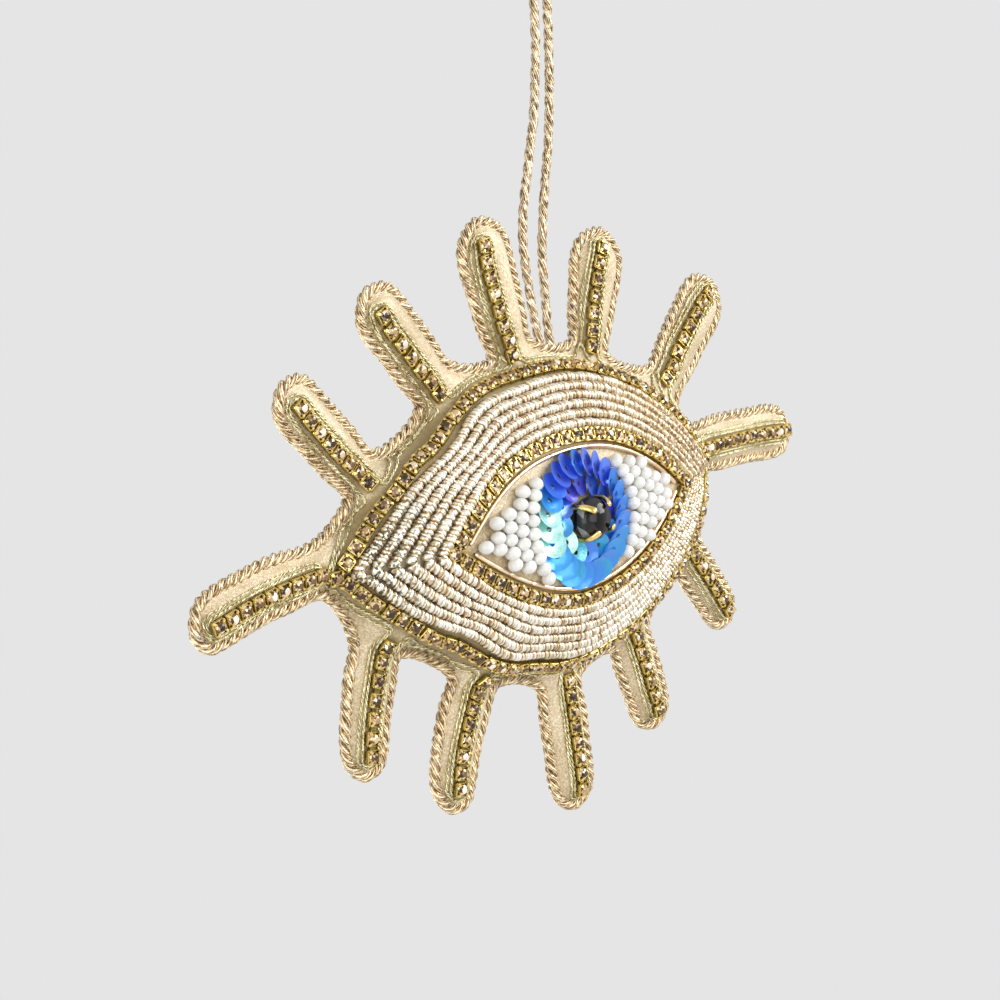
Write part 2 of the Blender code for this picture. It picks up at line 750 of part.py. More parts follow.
    def kept_clear(point):
        """Point moved inwards until a cup on it stays on the cloth."""
        distance = edge_distance(point)
        if distance >= cup_reach:
            return point
        close = nearest_on(cut, point)[0]
        inwards = (point - close) * (1 if distance > 0 else -1)
        return close + inwards.normalized() * cup_reach

    sides, sites = {}, {}
    for name, almond, powers in (("rim", RIM_ALMOND, RIM_POWERS), ("eye", EYE_ALMOND, EYE_POWERS)):
        for upper in (True, False):
            side = [kept_clear(p) for p in almond_side(almond, powers, upper)]
            for _ in range(6):
                side = [kept_clear(p) for p in smoothed(side, 14)]
            sides[name, upper] = side
        halves = []
        for upper in (True, False):
            raised = [cloth.seat(p)[0] for p in sides[name, upper]]
            halves.append(even_points(raised, CHAIN_PITCH))
        sites[name] = halves[0] + list(reversed(halves[1][1:-1]))
        chain = cup_chain(chain_frames(cloth, sites[name], True), True)
        ornament.mesh(f"{name}_chain", [chain], brass)

    # Cup chain down each lash, from just outside the rim chain
    for number, lash in enumerate(lashes, 1):
        end = lash.length - BORDER_CORD / 2 - GAP - cup_reach
        path = []
        for i in range(LASH_STEPS + 1):
            wanted = lash.point(end * i / LASH_STEPS, lash.chain_offset)
            point = kept_clear(wanted)
            near = min((site.to_2d() - point).length for site in sites["rim"])
            if near > CHAIN_PITCH * 1.35 and (path or (point - wanted).length < 0.4):
                path.append(cloth.seat(point)[0])
        frames = chain_frames(cloth, even_points(path, CHAIN_PITCH), False)
        ornament.mesh(f"lash_chain_{number:02d}", [cup_chain(frames, False)], brass)

    # Couched coil rows between the two chains, mitred at the corners of the eye
    row_margin = CUP / 2 + GAP + ROW_WIRE / 2
    for place, upper in (("upper", True), ("lower", False)):
        edges = []
        for name, margin in (("rim", row_margin + RIM_FOLD), ("eye", -row_margin - EYE_FOLD)):
            edge = mitred(beside(sides[name, upper], margin, upper), ROW_END, upper)
            edges.append(divided(edge, ROW_CROSSINGS))
        crossings = []
        for a, b in zip(*edges):
            raised = [cloth.seat(a.lerp(b, step / 8))[0] for step in range(9)]
            crossings.append(divided(raised, ROW_COUNT - 1))
        for row in range(ROW_COUNT):
            side = [crossing[row].to_2d() for crossing in crossings]
            path = laid_wire(cloth, side, ROW_WIRE, ROW_SPANS)
            ornament.wire(f"coil_row_{place}_{row + 1}", path, ROW_WIRE, coil_silver)

    # Smooth wire along the inner eye
    trim_margin = CUP / 2 + GAP + TRIM_WIRE / 2
    for place, upper in (("upper", True), ("lower", False)):
        side = mitred(beside(sides["eye", upper], trim_margin, upper), TRIM_WIRE, upper)
        path = laid_wire(cloth, side, TRIM_WIRE, TRIM_SPANS)
        ornament.wire(f"eye_wire_{place}", path, TRIM_WIRE, rose_wire)

    # Seed beads strung in arcs round the iris, one thread at each end of the inner eye
    margin = trim_margin + TRIM_WIRE / 2 + GAP + BEAD / 2
    bead_height = min(EYE_ALMOND[2:]) - margin
    bead_pitch = BEAD_LENGTH + GAP
    for name, direction, length in (("left", -1, EYE_ALMOND[0]), ("right", 1, EYE_ALMOND[1])):
        power = min(EYE_POWERS[0::2] if direction < 0 else EYE_POWERS[1::2])
        centres = []
        radius = IRIS_RADIUS + GAP + BEAD / 2
        bead_length = length - CORNER_REACH * margin
        while radius + direction * IRIS_SHIFT < bead_length:
            angle, step = 0.0, bead_pitch / radius
            while True:
                u, v = radius * math.cos(angle + step), radius * math.sin(angle + step)
                share = abs(u + direction * IRIS_SHIFT) / bead_length
                if u < 0 or v > bead_height * (1 - share ** power):
                    break
                angle += step
            count = int(2 * angle / step) + 1
            turns = [step * (k - (count - 1) / 2) for k in range(count)]
            if len(centres) % 2:
                turns.reverse()
            centres.append([(radius, turn) for turn in turns])
            radius += BEAD_COLUMN_PITCH
        path, radii = [], []
        for arc_number, arc in enumerate(centres):
            heading = -1 if arc_number % 2 else 1
            neck = bead_pitch / BEAD_LENGTH / 2
            profile = ((-0.28, 1.0), (0.28, 1.0), (neck, BEAD_NECK))
            for bead_number, (arc_radius, turn) in enumerate(arc):
                opening = () if bead_number else ((-neck, BEAD_NECK),)
                for shift, size in opening + profile:
                    angle = turn + heading * shift * BEAD_LENGTH / arc_radius
                    along = IRIS_SHIFT + direction * arc_radius * math.cos(angle)
                    place = eye_point(along, arc_radius * math.sin(angle))
                    hit, normal = cloth.seat(place)
                    path.append(hit + normal * (GAP + BEAD / 2))
                    radii.append(size)
        path = cloth.cleared(path, [GAP + BEAD / 2 * size for size in radii])
        ornament.wire(f"beads_{name}", path, BEAD, white_glass, radii=radii)

    # Iris: two rings of sequins, each leaning on the next, threaded round the set stone
    iris_centre = eye_point(IRIS_SHIFT, 0)
    inner_radius = IRIS_RADIUS - OUTER_SEQUIN - GAP - INNER_SEQUIN / 2
    rings = (("outer", OUTER_SEQUIN, IRIS_RADIUS - OUTER_SEQUIN / 2, OUTER_COUNT),
             ("inner", INNER_SEQUIN, inner_radius, INNER_COUNT))
    for name, size, radius, count in rings:
        discs, thread = [], []
        stand = size / 2 * math.sin(SEQUIN_TILT) + SEQUIN_THICK / 2 + SEQUIN_LIFT
        for k in range(count):
            angle = 2 * math.pi * k / count
            out = eye_point(math.cos(angle), math.sin(angle)) - EYE_CENTRE
            frame = cloth.frame(iris_centre + out * radius, out, size * 0.35)
            lean = frame @ Matrix.Translation((0, 0, stand)) @ Matrix.Rotation(SEQUIN_TILT, 4, "X")
            half = SEQUIN_THICK / 2
            discs.append(turned(((size / 2, -half), (size / 2, half)), 8, lean))
            thread.append(lean.translation)
        guide = ring_tube(thread, SEQUIN_THREAD / 2, 4)
        ring = ornament.mesh(f"thread_guide_{name}", [guide], blue_film)
        body = ornament.mesh(f"iris_sequins_{name}", discs, blue_film)
        join = body.modifiers.new("thread", "BOOLEAN")
        join.operation = "UNION"
        join.object = ring
        join.use_self = True
        ring.hide_render = True
        ring.display_type = "WIRE"

    # Faceted pupil stone in a four-prong setting
    frame = cloth.frame(iris_centre, Vector((1, 0)), PUPIL / 3)
    lower = SETTING_BASE + GAP
    profile = ((PUPIL * 0.36, lower), (PUPIL / 2, lower + PUPIL_DEPTH * 0.65),
               (PUPIL / 2, lower + PUPIL_DEPTH),
               (PUPIL_TABLE / 2, lower + PUPIL_DEPTH + PUPIL_CROWN))
    ornament.mesh("pupil_stone", [turned(profile, 12, frame)], black_glass)
    ornament.mesh("pupil_setting", [prong_setting(frame, lower)], brass)

    # Hanging loop: one cord, both ends caught in the seam between lashes four and five
    top = [Vector((LOOP_SIDE, LOOP_DROP))]
    left = [Vector((x, z)) for x, z in LEFT_STRAND]
    right = [Vector((x, z)) for x, z in RIGHT_STRAND]
    crown = Vector((-LOOP_SIDE, LOOP_DROP - LOOP_CORD / 2))
    foot = BORDER_CORD / 2 + GAP
    left[0].y = foot + 0.35
    right[0].y = foot + 0.35
    route = smooth_points(left + [crown] + list(reversed(right)), 8, False)
    points = even_points(route, LOOP_CORD * 2.9)
    data = round_curve("hanging_loop", LOOP_CORD, 2)
    spline = data.splines.new("POLY")
    spline.points.add(len(points) - 1)
    for target, point in zip(spline.points, points):
        target.co = ((point.x + LOOP_SIDE) * MM, 0, (point.y - LOOP_DROP) * MM, 1)
    spline.use_smooth = True
    data.materials.append(cord_gold)
    bpy.context.collection.objects.link(bpy.data.objects.new("hanging_loop", data))


def prong_setting(frame, lower):
    """Base plate whose four arms rise past the girdle and close over the crown."""
    base_radius = PUPIL * 0.36
    verts = []
    for height in (0.0, SETTING_BASE):
        for k in range(8):
            angle = math.pi * (k + 0.5) / 4
            verts.append(Vector((base_radius * math.cos(angle), base_radius * math.sin(angle),
                                 height)))
    faces = [tuple(reversed(range(8))), tuple(range(8, 16))]
    faces += [(k, (k + 1) % 8, (k + 1) % 8 + 8, k + 8) for k in (1, 3, 5, 7)]

    girdle = PUPIL / 2
    knee = lower + PUPIL_DEPTH
    slope = math.atan2(PUPIL_CROWN, girdle - PUPIL_TABLE / 2)
    lean, lid = (-math.cos(slope), math.sin(slope)), (math.sin(slope), math.cos(slope))
    rise = math.cos(slope) - math.sin(slope) * (1 - math.sin(slope)) / math.cos(slope)
    outer = GAP + PRONG

    def over_crown(height):
        return (girdle + lid[0] * height + lean[0] * PRONG_REACH,
                knee + lid[1] * height + lean[1] * PRONG_REACH)

    stations = (((girdle + outer, 0.0), (girdle + GAP, SETTING_BASE)),
                ((girdle + outer, knee + outer * rise), (girdle + GAP, knee + GAP * rise)),
                (over_crown(outer), over_crown(GAP)))
    for k in (0, 2, 4, 6):
        angle = math.pi * (k + 1) / 4
        out = Vector((math.cos(angle), math.sin(angle), 0))
        across = Vector((-out.y, out.x, 0)) * PRONG * 0.8
        last = (k, (k + 1) % 8, (k + 1) % 8 + 8, k + 8)
        for far, near in stations:
            base = len(verts)
            for (radius, height), side in ((far, -1), (far, 1), (near, 1), (near, -1)):
                verts.append(out * radius + across * side + Vector((0, 0, height)))
            ring = (base, base + 1, base + 2, base + 3)
            for i in range(4):
                j = (i + 1) % 4
                faces.append((last[i], last[j], ring[j], ring[i]))
            last = ring
        faces.append(last)
    return [frame @ v for v in verts], faces


main()
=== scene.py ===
"""Looks of the evil eye ornament: satin, metallic cord, cup chains, coil wire, beads and sequins.

The ornament is drawn flat in millimetres. u runs along the eye, v runs up it and w comes out of
its front. The plane w = 0 is the seam. placed() turns drawing points into the row frame.
"""
import math

import bpy
import numpy as np
from mathutils import Matrix, Vector, noise


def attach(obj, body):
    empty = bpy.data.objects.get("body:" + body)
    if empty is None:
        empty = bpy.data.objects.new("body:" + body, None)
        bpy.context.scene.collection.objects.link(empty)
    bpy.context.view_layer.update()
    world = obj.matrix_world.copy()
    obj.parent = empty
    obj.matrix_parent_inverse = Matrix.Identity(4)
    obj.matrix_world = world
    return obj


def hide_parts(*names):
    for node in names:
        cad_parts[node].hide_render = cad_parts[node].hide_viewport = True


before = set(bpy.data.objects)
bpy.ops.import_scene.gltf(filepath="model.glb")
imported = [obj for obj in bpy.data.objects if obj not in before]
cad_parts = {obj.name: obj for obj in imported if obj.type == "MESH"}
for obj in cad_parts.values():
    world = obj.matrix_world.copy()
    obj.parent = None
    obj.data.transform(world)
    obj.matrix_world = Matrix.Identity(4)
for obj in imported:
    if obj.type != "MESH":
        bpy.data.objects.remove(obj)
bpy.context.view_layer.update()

MM = 0.001
GAP = 0.3

# Hanging loop
LOOP_DROP = 80.0
LOOP_SIDE = 1.0
HANG_TILT = math.radians(12.5)
LOOP_CORD = 1.5
LOOP_LAY = 6.3                 # length in which a ply goes once round
LOOP_STEP = 0.25               # between the rings of points along it
EXIT_SHARE = 0.38
LEFT_STRAND = ((-1.1, 0.6), (-1.9, 3.0), (-3.4, 8.1), (-4.4, 12.1), (-5.1, 16.5), (-4.9, 21.3),
               (-4.1, 26.0), (-3.4, 30.2), (-2.6, 34.8), (-2.3, 39.9), (-2.1, 45.7), (-2.6, 52.9),
               (-4.0, 61.0), (-5.4, 69.0), (-4.9, 76.0))
RIGHT_STRAND = ((1.2, 0.6), (0.4, 5.6), (-0.1, 9.7), (-0.6, 13.9), (-0.5, 18.2), (-0.2, 22.6),
                (0.2, 26.5), (0.7, 30.0), (1.0, 34.5), (1.1, 40.3), (0.9, 47.6), (0.6, 53.3),
                (1.4, 61.0), (2.7, 69.0), (2.3, 76.0))

# Border cord and cloth
BORDER_CORD = 1.7
BORDER_FULLNESS = 1.1          # the cord's yarn is drawn fuller than its solid
BORDER_LAY = 4.9
BORDER_STEP = 0.27
CLOTH = 0.5
LASH_HEIGHT = 1.7
LASH_BACK_HEIGHT = 1.5
LASH_ROUNDING = 3.0
DOME_HEIGHT = 9.9
DOME_LEFT = 44.5
DOME_RIGHT = 41.0
DOME_HALF_HEIGHT = 23.6
DOME_POWER = 0.55
DOME_BLEND = 1.2
BACK_DOME_HEIGHT = 6.0
BACK_FLAT_HEIGHT = 5.2
EYE_CENTRE = np.array((0.3, -0.8))
EYE_TURN = math.radians(-1.6)
PITCH = 0.5                    # spacing of the cloth's points
SEAM_ROOM = 0.25               # how far inside the border cord's line the cloth ends
CHAIN_DIP = 0.3                # how far a sewn chain draws the satin in
DIP_REACH = 1.7
CHAIN_SHADE_REACH = 1.9               # how far the painted olive shade beside a chain reaches
CHAIN_SHADE_FADE = 0.7
EDGE_SLOPE = 0.35              # how the cloth falls outside its cut edge, and how far
EDGE_REACH = 0.9

# Each lash: root, tip, half width at root and near tip, bow, chain offset, and for some how much
# further out the left and the right side start
LASHES = (
    ((-45.5, 2.0), (-69.7, -0.8), 3.6, 3.5, -1.0, 0.4),
    ((-34.9, 13.0), (-47.2, 27.9), 3.8, 3.8, 0.0, 1.3),
    ((-17.2, 22.6), (-28.3, 37.8), 4.3, 4.2, -0.2, 1.8),
    ((0.4, 24.6), (-2.9, 44.6), 4.5, 5.0, 0.1, 2.1),
    ((18.4, 21.9), (25.4, 39.1), 3.9, 5.1, 0.2, 1.6),
    ((35.4, 12.9), (51.8, 26.6), 4.1, 4.5, 0.3, 1.6),
    ((39.0, 1.3), (67.3, -0.7), 3.9, 3.7, 0.5, 0.0, 0.0, 2.7),
    ((35.9, -14.9), (44.3, -28.0), 3.8, 3.3, 0.0, -0.3),
    ((18.6, -24.0), (22.2, -39.4), 4.6, 4.0, 0.0, -0.5),
    ((0.6, -26.4), (0.2, -46.1), 4.5, 4.2, 0.0, 0.0),
    ((-17.7, -20.9), (-26.8, -38.4), 4.7, 3.9, -1.3, -0.6, 0.0, 0.9),
    ((-36.8, -10.9), (-43.3, -28.4), 4.6, 3.7, -0.8, -0.5, 0.9, 0.0),
)

# Eye outlines: length to the left and right of the centre, height above and below the axis
ALMOND_STEPS = 120
LASH_STEPS = 40
RIM_ALMOND = (45.0, 41.0, 22.3, 22.5)
EYE_ALMOND = (27.2, 28.2, 12.1, 12.1)
# Fullness of each outline at its upper left, upper right, lower left and lower right
RIM_POWERS = (2.55, 2.25, 2.1, 2.05)
EYE_POWERS = (2.6, 2.1, 1.9, 2.1)
ROW_COUNT = 6
ROW_MARGIN = 1.72             # from a chain's line to the nearest row's line
ROW_CROSSINGS = 60
TRIM_WIRE = 0.7
WIRE_SIDES = 10

# Trims
CHAIN_PITCH = 2.5
CUP = 2.15
CUP_HEIGHT = 0.8
CUP_MARGIN = 0.3
CHAIN_RISE = 0.12              # of the cups' floors over the cloth
CHAIN_ROOM = CUP * 1.08        # between the rim chain and the first cup of a lash
BEAD = 2.0
BEAD_LENGTH = 1.7
BEAD_COLUMN_PITCH = 2.35
BEAD_FULLNESS = np.array((1.0, 1.19, 1.12))
IRIS_RADIUS = 10.45
IRIS_SHIFT = -0.8
OUTER_SEQUIN = 4.4
OUTER_COUNT = 24
INNER_SEQUIN = 3.8
INNER_COUNT = 12
SEQUIN_LIFT = 0.35
# Slope and lean of the discs of each ring, and where round it a painted mint reflection is centred
OUTER_TILT = np.tan(np.radians((11.0, 21.0)))
INNER_TILT = np.tan(np.radians((6.0, 15.0)))
OUTER_GLINT = math.radians(178.0)
INNER_GLINT = math.radians(212.0)
GLINT_SPREAD = math.radians(29.0)
# Pupil stone: radius, height over the cloth and turn of each ring of its facets
PUPIL_SIDES = 10
PUPIL_RINGS = ((2.2, 0.2, 0.0), (3.05, 1.0, 0.5), (3.4, 2.0, 0.0), (3.1, 3.1, 0.5), (2.1, 4.2, 0.0))
CLAW_PATH = ((3.2, 0.4), (3.62, 1.3), (3.68, 2.2), (3.48, 3.05), (3.0, 3.95), (2.45, 4.5),
             (2.1, 4.6))
CLAW = (0.52, 0.34)            # half width and half thickness
CLAW_SIDES = 10
CLAW_ROUNDING = 0.2            # share of a claw's length over which its tip narrows
CLAW_TURN = math.radians(4.0)
COIL_RIB = 0.68                # spacing of a coil's turns
COIL_STEP = 0.085
COIL_SHARE = 0.53              # a coil's radius, of the room to the next row, within COIL_RADII
COIL_RADII = (0.3, 0.86)
COIL_LIFT = 0.72               # of its middle over the cloth, in radii
COIL_SIDES = 10
LUREX = 0.48
LUREX_LAY = 1.7
LUREX_STEP = 0.17
LUREX_OFFSETS = (1.38, 1.92)   # from the chain's line to the two couched threads

# Of a cord's thickness: how far out its plies lie, and their half widths outwards and across
PLY_SHAPES = {2: (0.22, 0.28, 0.28), 3: (0.27, 0.23, 0.26)}

chance = np.random.default_rng(11)


def length_along(path):
    steps = np.linalg.norm(np.diff(path, axis=0), axis=1)
    return np.concatenate([[0.0], np.cumsum(steps)])


def divided(path, count):
    """Points that divide a path into count equal lengths, with its two ends."""
    run = length_along(path)
    at = np.linspace(0, run[-1], count + 1)
    return np.stack([np.interp(at, run, column) for column in path.T], 1)


def even_points(path, pitch):
    """Points spaced as near to pitch as a whole number of steps allows."""
    return divided(path, max(1, round(length_along(path)[-1] / pitch)))


def even_ring(ring, pitch):
    """Evenly spaced points of a closed path, without its first point again."""
    return even_points(np.vstack([ring, ring[:1]]), pitch)[:-1]


def eased(ring, passes):
    """Values round a closed path with their small kinks averaged out."""
    for _ in range(passes):
        ring = (np.roll(ring, 1, axis=0) + ring * 2 + np.roll(ring, -1, axis=0)) / 4
    return ring


def unit(vectors):
    return vectors / np.maximum(np.linalg.norm(vectors, axis=-1, keepdims=True), 1e-9)


def headings(path, closed):
    """Unlevelled directions along a path."""
    if closed:
        return np.roll(path, -1, axis=0) - np.roll(path, 1, axis=0)
    return np.gradient(path, axis=0)


def level(ways, normals):
    """Unit directions turned square to the normals."""
    return unit(ways - normals * (ways * normals).sum(1)[:, None])


def leftwards(ways):
    return np.column_stack([-ways[:, 1], ways[:, 0]])


def axes_on(ahead, normals):
    """Axes whose first points ahead and whose last is the normal."""
    return np.stack([ahead, np.cross(normals, ahead), normals], 1)


def partway(p, q, start, end, at):
    """Points on the way from p to q, at being between start and end."""
    return p * ((end - at) / (end - start)) + q * ((at - start) / (end - start))


def smooth_points(points, steps, closed):
    """Centripetal Catmull-Rom curve through points, with steps points in each span."""
    points = np.asarray(points, float)
    if closed:
        around = np.vstack([points[-1:], points, points[:2]])
    else:
        around = np.vstack([points[:1] * 2 - points[1:2], points, points[-1:] * 2 - points[-2:-1]])
    result = []
    for p0, p1, p2, p3 in zip(around, around[1:], around[2:], around[3:]):
        t1, t2, t3 = np.cumsum([max(np.linalg.norm(b - a), 1e-6) ** 0.5
                                for a, b in ((p0, p1), (p1, p2), (p2, p3))])
        t = (t1 + (t2 - t1) * np.arange(steps) / steps)[:, None]
        middle = partway(p1, p2, t1, t2, t)
        before = partway(partway(p0, p1, 0, t1, t), middle, 0, t2, t)
        after = partway(middle, partway(p2, p3, t2, t3, t), t1, t3, t)
        result.append(partway(before, after, t1, t2, t))
    if not closed:
        result.append(points[-1:])
    return np.vstack(result)


def smoothed(path, passes):
    """Path with its small kinks averaged out and its ends kept."""
    path = path.copy()
    for _ in range(passes):
        path[1:-1] = (path[:-2] + path[1:-1] * 2 + path[2:]) / 4
    return path


def way_along(points, a, b):
    """From a, how far each point's nearest place on the straight to b lies."""
    edge = b - a
    return np.clip((points - a) @ edge / (edge @ edge), 0, 1)[:, None] * edge


def signed_distance(points, polygon):
    """How far points are inside a closed polygon, negative outside, and its nearest points."""
    best = np.full(len(points), 1e9)
    close = np.zeros_like(points)
    within = np.zeros(len(points), bool)
    for a, b in zip(polygon, np.roll(polygon, -1, axis=0)):
        edge = b - a
        spot = a + way_along(points, a, b)
        gap = ((points - spot) ** 2).sum(1)
        nearer = gap < best
        best[nearer] = gap[nearer]
        close[nearer] = spot[nearer]
        if edge[1]:
            crossing = a[0] + (points[:, 1] - a[1]) / edge[1] * edge[0]
            straddled = (a[1] > points[:, 1]) != (b[1] > points[:, 1])
            within ^= straddled & (points[:, 0] < crossing)
    return np.where(within, 1, -1) * np.sqrt(best), close


def inwards(points, distance, close):
    """Unit directions into a polygon from its nearest points to points."""
    return unit((points - close) * np.where(distance > 0, 1, -1)[:, None])


class LashShape:
    """One lash's axis and sides in the drawing plane."""

    def __init__(self, lash):
        root, tip, self.root_half, self.tip_half, self.bow, self.chain_offset = lash[:6]
        self.left_start, self.right_start = lash[6:] if len(lash) > 6 else (0.0, 0.0)
        self.root, self.tip = np.array(root), np.array(tip)
        self.length = np.linalg.norm(self.tip - self.root)
        self.along = (self.tip - self.root) / self.length
        self.left = np.array((-self.along[1], self.along[0]))

    def point(self, distance, offset=0.0):
        share = distance / self.length
        bow = self.bow * 4 * share * (1 - share) if share > 0 else 0.0
        return self.root + self.along * distance + self.left * (bow + offset)

    def half(self, distance):
        share = min(max(distance / (self.length - self.tip_half), 0.0), 1.0)
        return self.root_half + (self.tip_half - self.root_half) * share

    def border(self):
        """Control points of the border cord, up the left side, round the tip and back."""
        straight = self.length - self.tip_half
        low, high = straight * 0.36, straight * 0.7
        left = [self.point(at, self.half(at)) for at in (self.left_start, low, high)]
        cap = [self.point(straight + self.tip_half * math.cos(turn), self.tip_half * math.sin(turn))
               for turn in map(math.radians, (90, 55, 0, -55, -90))]
        right = [self.point(at, -self.half(at)) for at in (high, low, self.right_start)]
        return left + cap + right


def turned_flat(points, angle):
    c, s = math.cos(angle), math.sin(angle)
    return points @ np.array(((c, s), (-s, c)))


def eye_point(points):
    """Drawing points from coordinates along and across the eye's own axis."""
    return EYE_CENTRE + turned_flat(np.asarray(points, float), EYE_TURN)


def eye_local(points):
    return turned_flat(points - EYE_CENTRE, -EYE_TURN)


lashes = [LashShape(lash) for lash in LASHES]
controls = [point for lash in lashes for point in lash.border()]
border = smooth_points(controls, 4, True)
gate = np.array((lashes[3].border()[-1], lashes[4].border()[0]))
between = gate[0] + (gate[1] - gate[0]) * EXIT_SHARE
EXIT = signed_distance(between[None], border)[1][0]
TURN = np.array((Matrix.Rotation(-HANG_TILT, 3, "Y") @ Matrix(((1, 0, 0), (0, 0, -1), (0, 1, 0)))))
PIVOT = np.array((LOOP_SIDE, 0.0, -LOOP_DROP))


def placed(points):
    """Drawing points, in millimetres, as points of the row frame in metres."""
    return ((points - (*EXIT, 0.0)) @ TURN.T + PIVOT) * MM


def face_height(points, edge, dome_height, flat_height):
    """Height of the cloth over the seam plane, edge being how far in from its cut edge."""
    local = eye_local(points)
    reach = np.where(local[:, 0] < 0, DOME_LEFT, DOME_RIGHT)
    radius = (local[:, 0] / reach) ** 2 + (local[:, 1] / DOME_HALF_HEIGHT) ** 2
    dome = dome_height * np.maximum(1 - radius, 0) ** DOME_POWER
    blended = (dome + flat_height + np.sqrt((dome - flat_height) ** 2 + DOME_BLEND ** 2)) / 2
    rim = GAP / 2 + CLOTH
    share = np.clip(edge / LASH_ROUNDING, 0, 1)
    rounded = rim + (blended - rim) * np.sqrt(1 - (1 - share) ** 2)
    return np.where(edge < 0, rim + EDGE_SLOPE * np.maximum(edge, -EDGE_REACH), rounded)


CORNER = np.array((-76.0, -54.0))
GRID = (300, 216)
columns = np.arange(GRID[0]) * PITCH + CORNER[0]
lines = np.arange(GRID[1]) * PITCH + CORNER[1]
grid_points = np.stack(np.meshgrid(columns, lines, indexing="ij"), -1).reshape(-1, 2)
grid_inside, grid_close = signed_distance(grid_points, border)
grid_edge = grid_inside - BORDER_CORD / 2 - GAP


class Ground:
    """Heights on the grid, read smoothly between its points."""

    def __init__(self, heights):
        self.heights = heights.reshape(GRID)

    def at(self, points):
        place = (points - CORNER) / PITCH
        low = np.clip(np.floor(place).astype(int), 0, np.array(GRID) - 2)
        part = place - low
        (i, j), (a, b) = low.T, part.T
        h = self.heights
        return ((h[i, j] * (1 - a) + h[i + 1, j] * a) * (1 - b)
                + (h[i, j + 1] * (1 - a) + h[i + 1, j + 1] * a) * b)

    def normals(self, points, reach=0.7):
        slope = [(self.at(points + way) - self.at(points - way)) / (2 * reach)
                 for way in ((reach, 0.0), (0.0, reach))]
        return unit(np.column_stack([-slope[0], -slope[1], np.ones(len(points))]))

    def seat(self, points):
        return np.column_stack([points, self.at(points)])

    def above(self, points, rise):
        """3-D points over the cloth by a rise along its normal, and the normals."""
        normals = self.normals(points)
        return self.seat(points) + normals * np.reshape(rise, (-1, 1)), normals


flat_ground = Ground(face_height(grid_points, grid_edge, DOME_HEIGHT, LASH_HEIGHT))


def kept_clear(points, reach):
    """Points moved inwards until they are a reach from the cloth's cut edge."""
    distance, close = signed_distance(points, border)
    room = reach + BORDER_CORD / 2 + GAP
    moved = close + inwards(points, distance, close) * room
    return np.where((distance < room)[:, None], moved, points)


def almond_side(almond, powers, upper):
    left, right, above, below = almond
    height, fullness = (above, powers[:2]) if upper else (-below, powers[2:])
    share = np.linspace(-1, 1, ALMOND_STEPS + 1)
    u = share * np.where(share < 0, left, right)
    power = np.where(share < 0, fullness[0], fullness[1])
    return eye_point(np.column_stack([u, height * (1 - np.abs(share) ** power)]))


def beside(path, distance, upper):
    """Path moved towards the eye's axis by a distance, or away from it if negative."""
    return path + leftwards(unit(headings(path, False))) * (-distance if upper else distance)


def mitred(path, margin, upper):
    """Path cut or run on straight so that both ends stop a margin from the eye's axis."""
    heights = eye_local(path)[:, 1] * (1 if upper else -1)
    kept = np.flatnonzero(heights > margin)
    tips = []
    for at, beyond in ((kept[0], kept[0] + 1), (kept[-1], kept[-1] - 1)):
        share = (heights[at] - margin) / (heights[beyond] - heights[at])
        tips.append(path[at] + (path[at] - path[beyond]) * share)
    return np.vstack([tips[:1], path[kept[0]:kept[-1] + 1], tips[1:]])


# Lines of the chains
CUP_REACH = CUP / 2 + CUP_MARGIN
sides, sites = {}, {}
for name, almond, powers in (("rim", RIM_ALMOND, RIM_POWERS), ("eye", EYE_ALMOND, EYE_POWERS)):
    for upper in (True, False):
        side = kept_clear(almond_side(almond, powers, upper), CUP_REACH)
        for _ in range(6):
            side = kept_clear(smoothed(side, 14), CUP_REACH)
        sides[name, upper] = side
    halves = [even_points(flat_ground.seat(sides[name, upper]), CHAIN_PITCH)[:, :2]
              for upper in (True, False)]
    sites[name] = np.vstack([halves[0], halves[1][-2:0:-1]])

lash_lines = []
for lash in lashes:
    end = lash.length - BORDER_CORD / 2 - GAP - CUP_REACH
    wanted = np.array([lash.point(end * i / LASH_STEPS, lash.chain_offset)
                       for i in range(LASH_STEPS + 1)])
    line = kept_clear(wanted, CUP_REACH)
    near = np.linalg.norm(line[:, None] - sites["rim"][None], axis=2).min(1)
    steady = np.linalg.norm(line - wanted, axis=1) < 0.4
    first = np.flatnonzero((near > CHAIN_ROOM) & steady)[0]
    line = line[first:][near[first:] > CHAIN_ROOM]
    lash_lines.append(even_points(line, CHAIN_PITCH))

# The satin is drawn in along each lash chain, and has painted olive shade beside every chain
dip = np.zeros(len(grid_points))
chain_shade = np.zeros(len(grid_points))
for line in lash_lines + [sites["rim"], sites["eye"]]:
    for a, b in zip(line, line[1:]):
        gap = np.sqrt(((grid_points - a - way_along(grid_points, a, b)) ** 2).sum(1))
        chain_shade = np.maximum(chain_shade, np.clip((CHAIN_SHADE_REACH - gap) / CHAIN_SHADE_FADE, 0, 1))
        if line is not sites["rim"] and line is not sites["eye"]:
            dip = np.maximum(dip, CHAIN_DIP * np.exp(-(gap / DIP_REACH) ** 2))
dip *= np.clip(grid_edge / 2.0, 0, 1)
ground = Ground(flat_ground.heights.ravel() - dip)


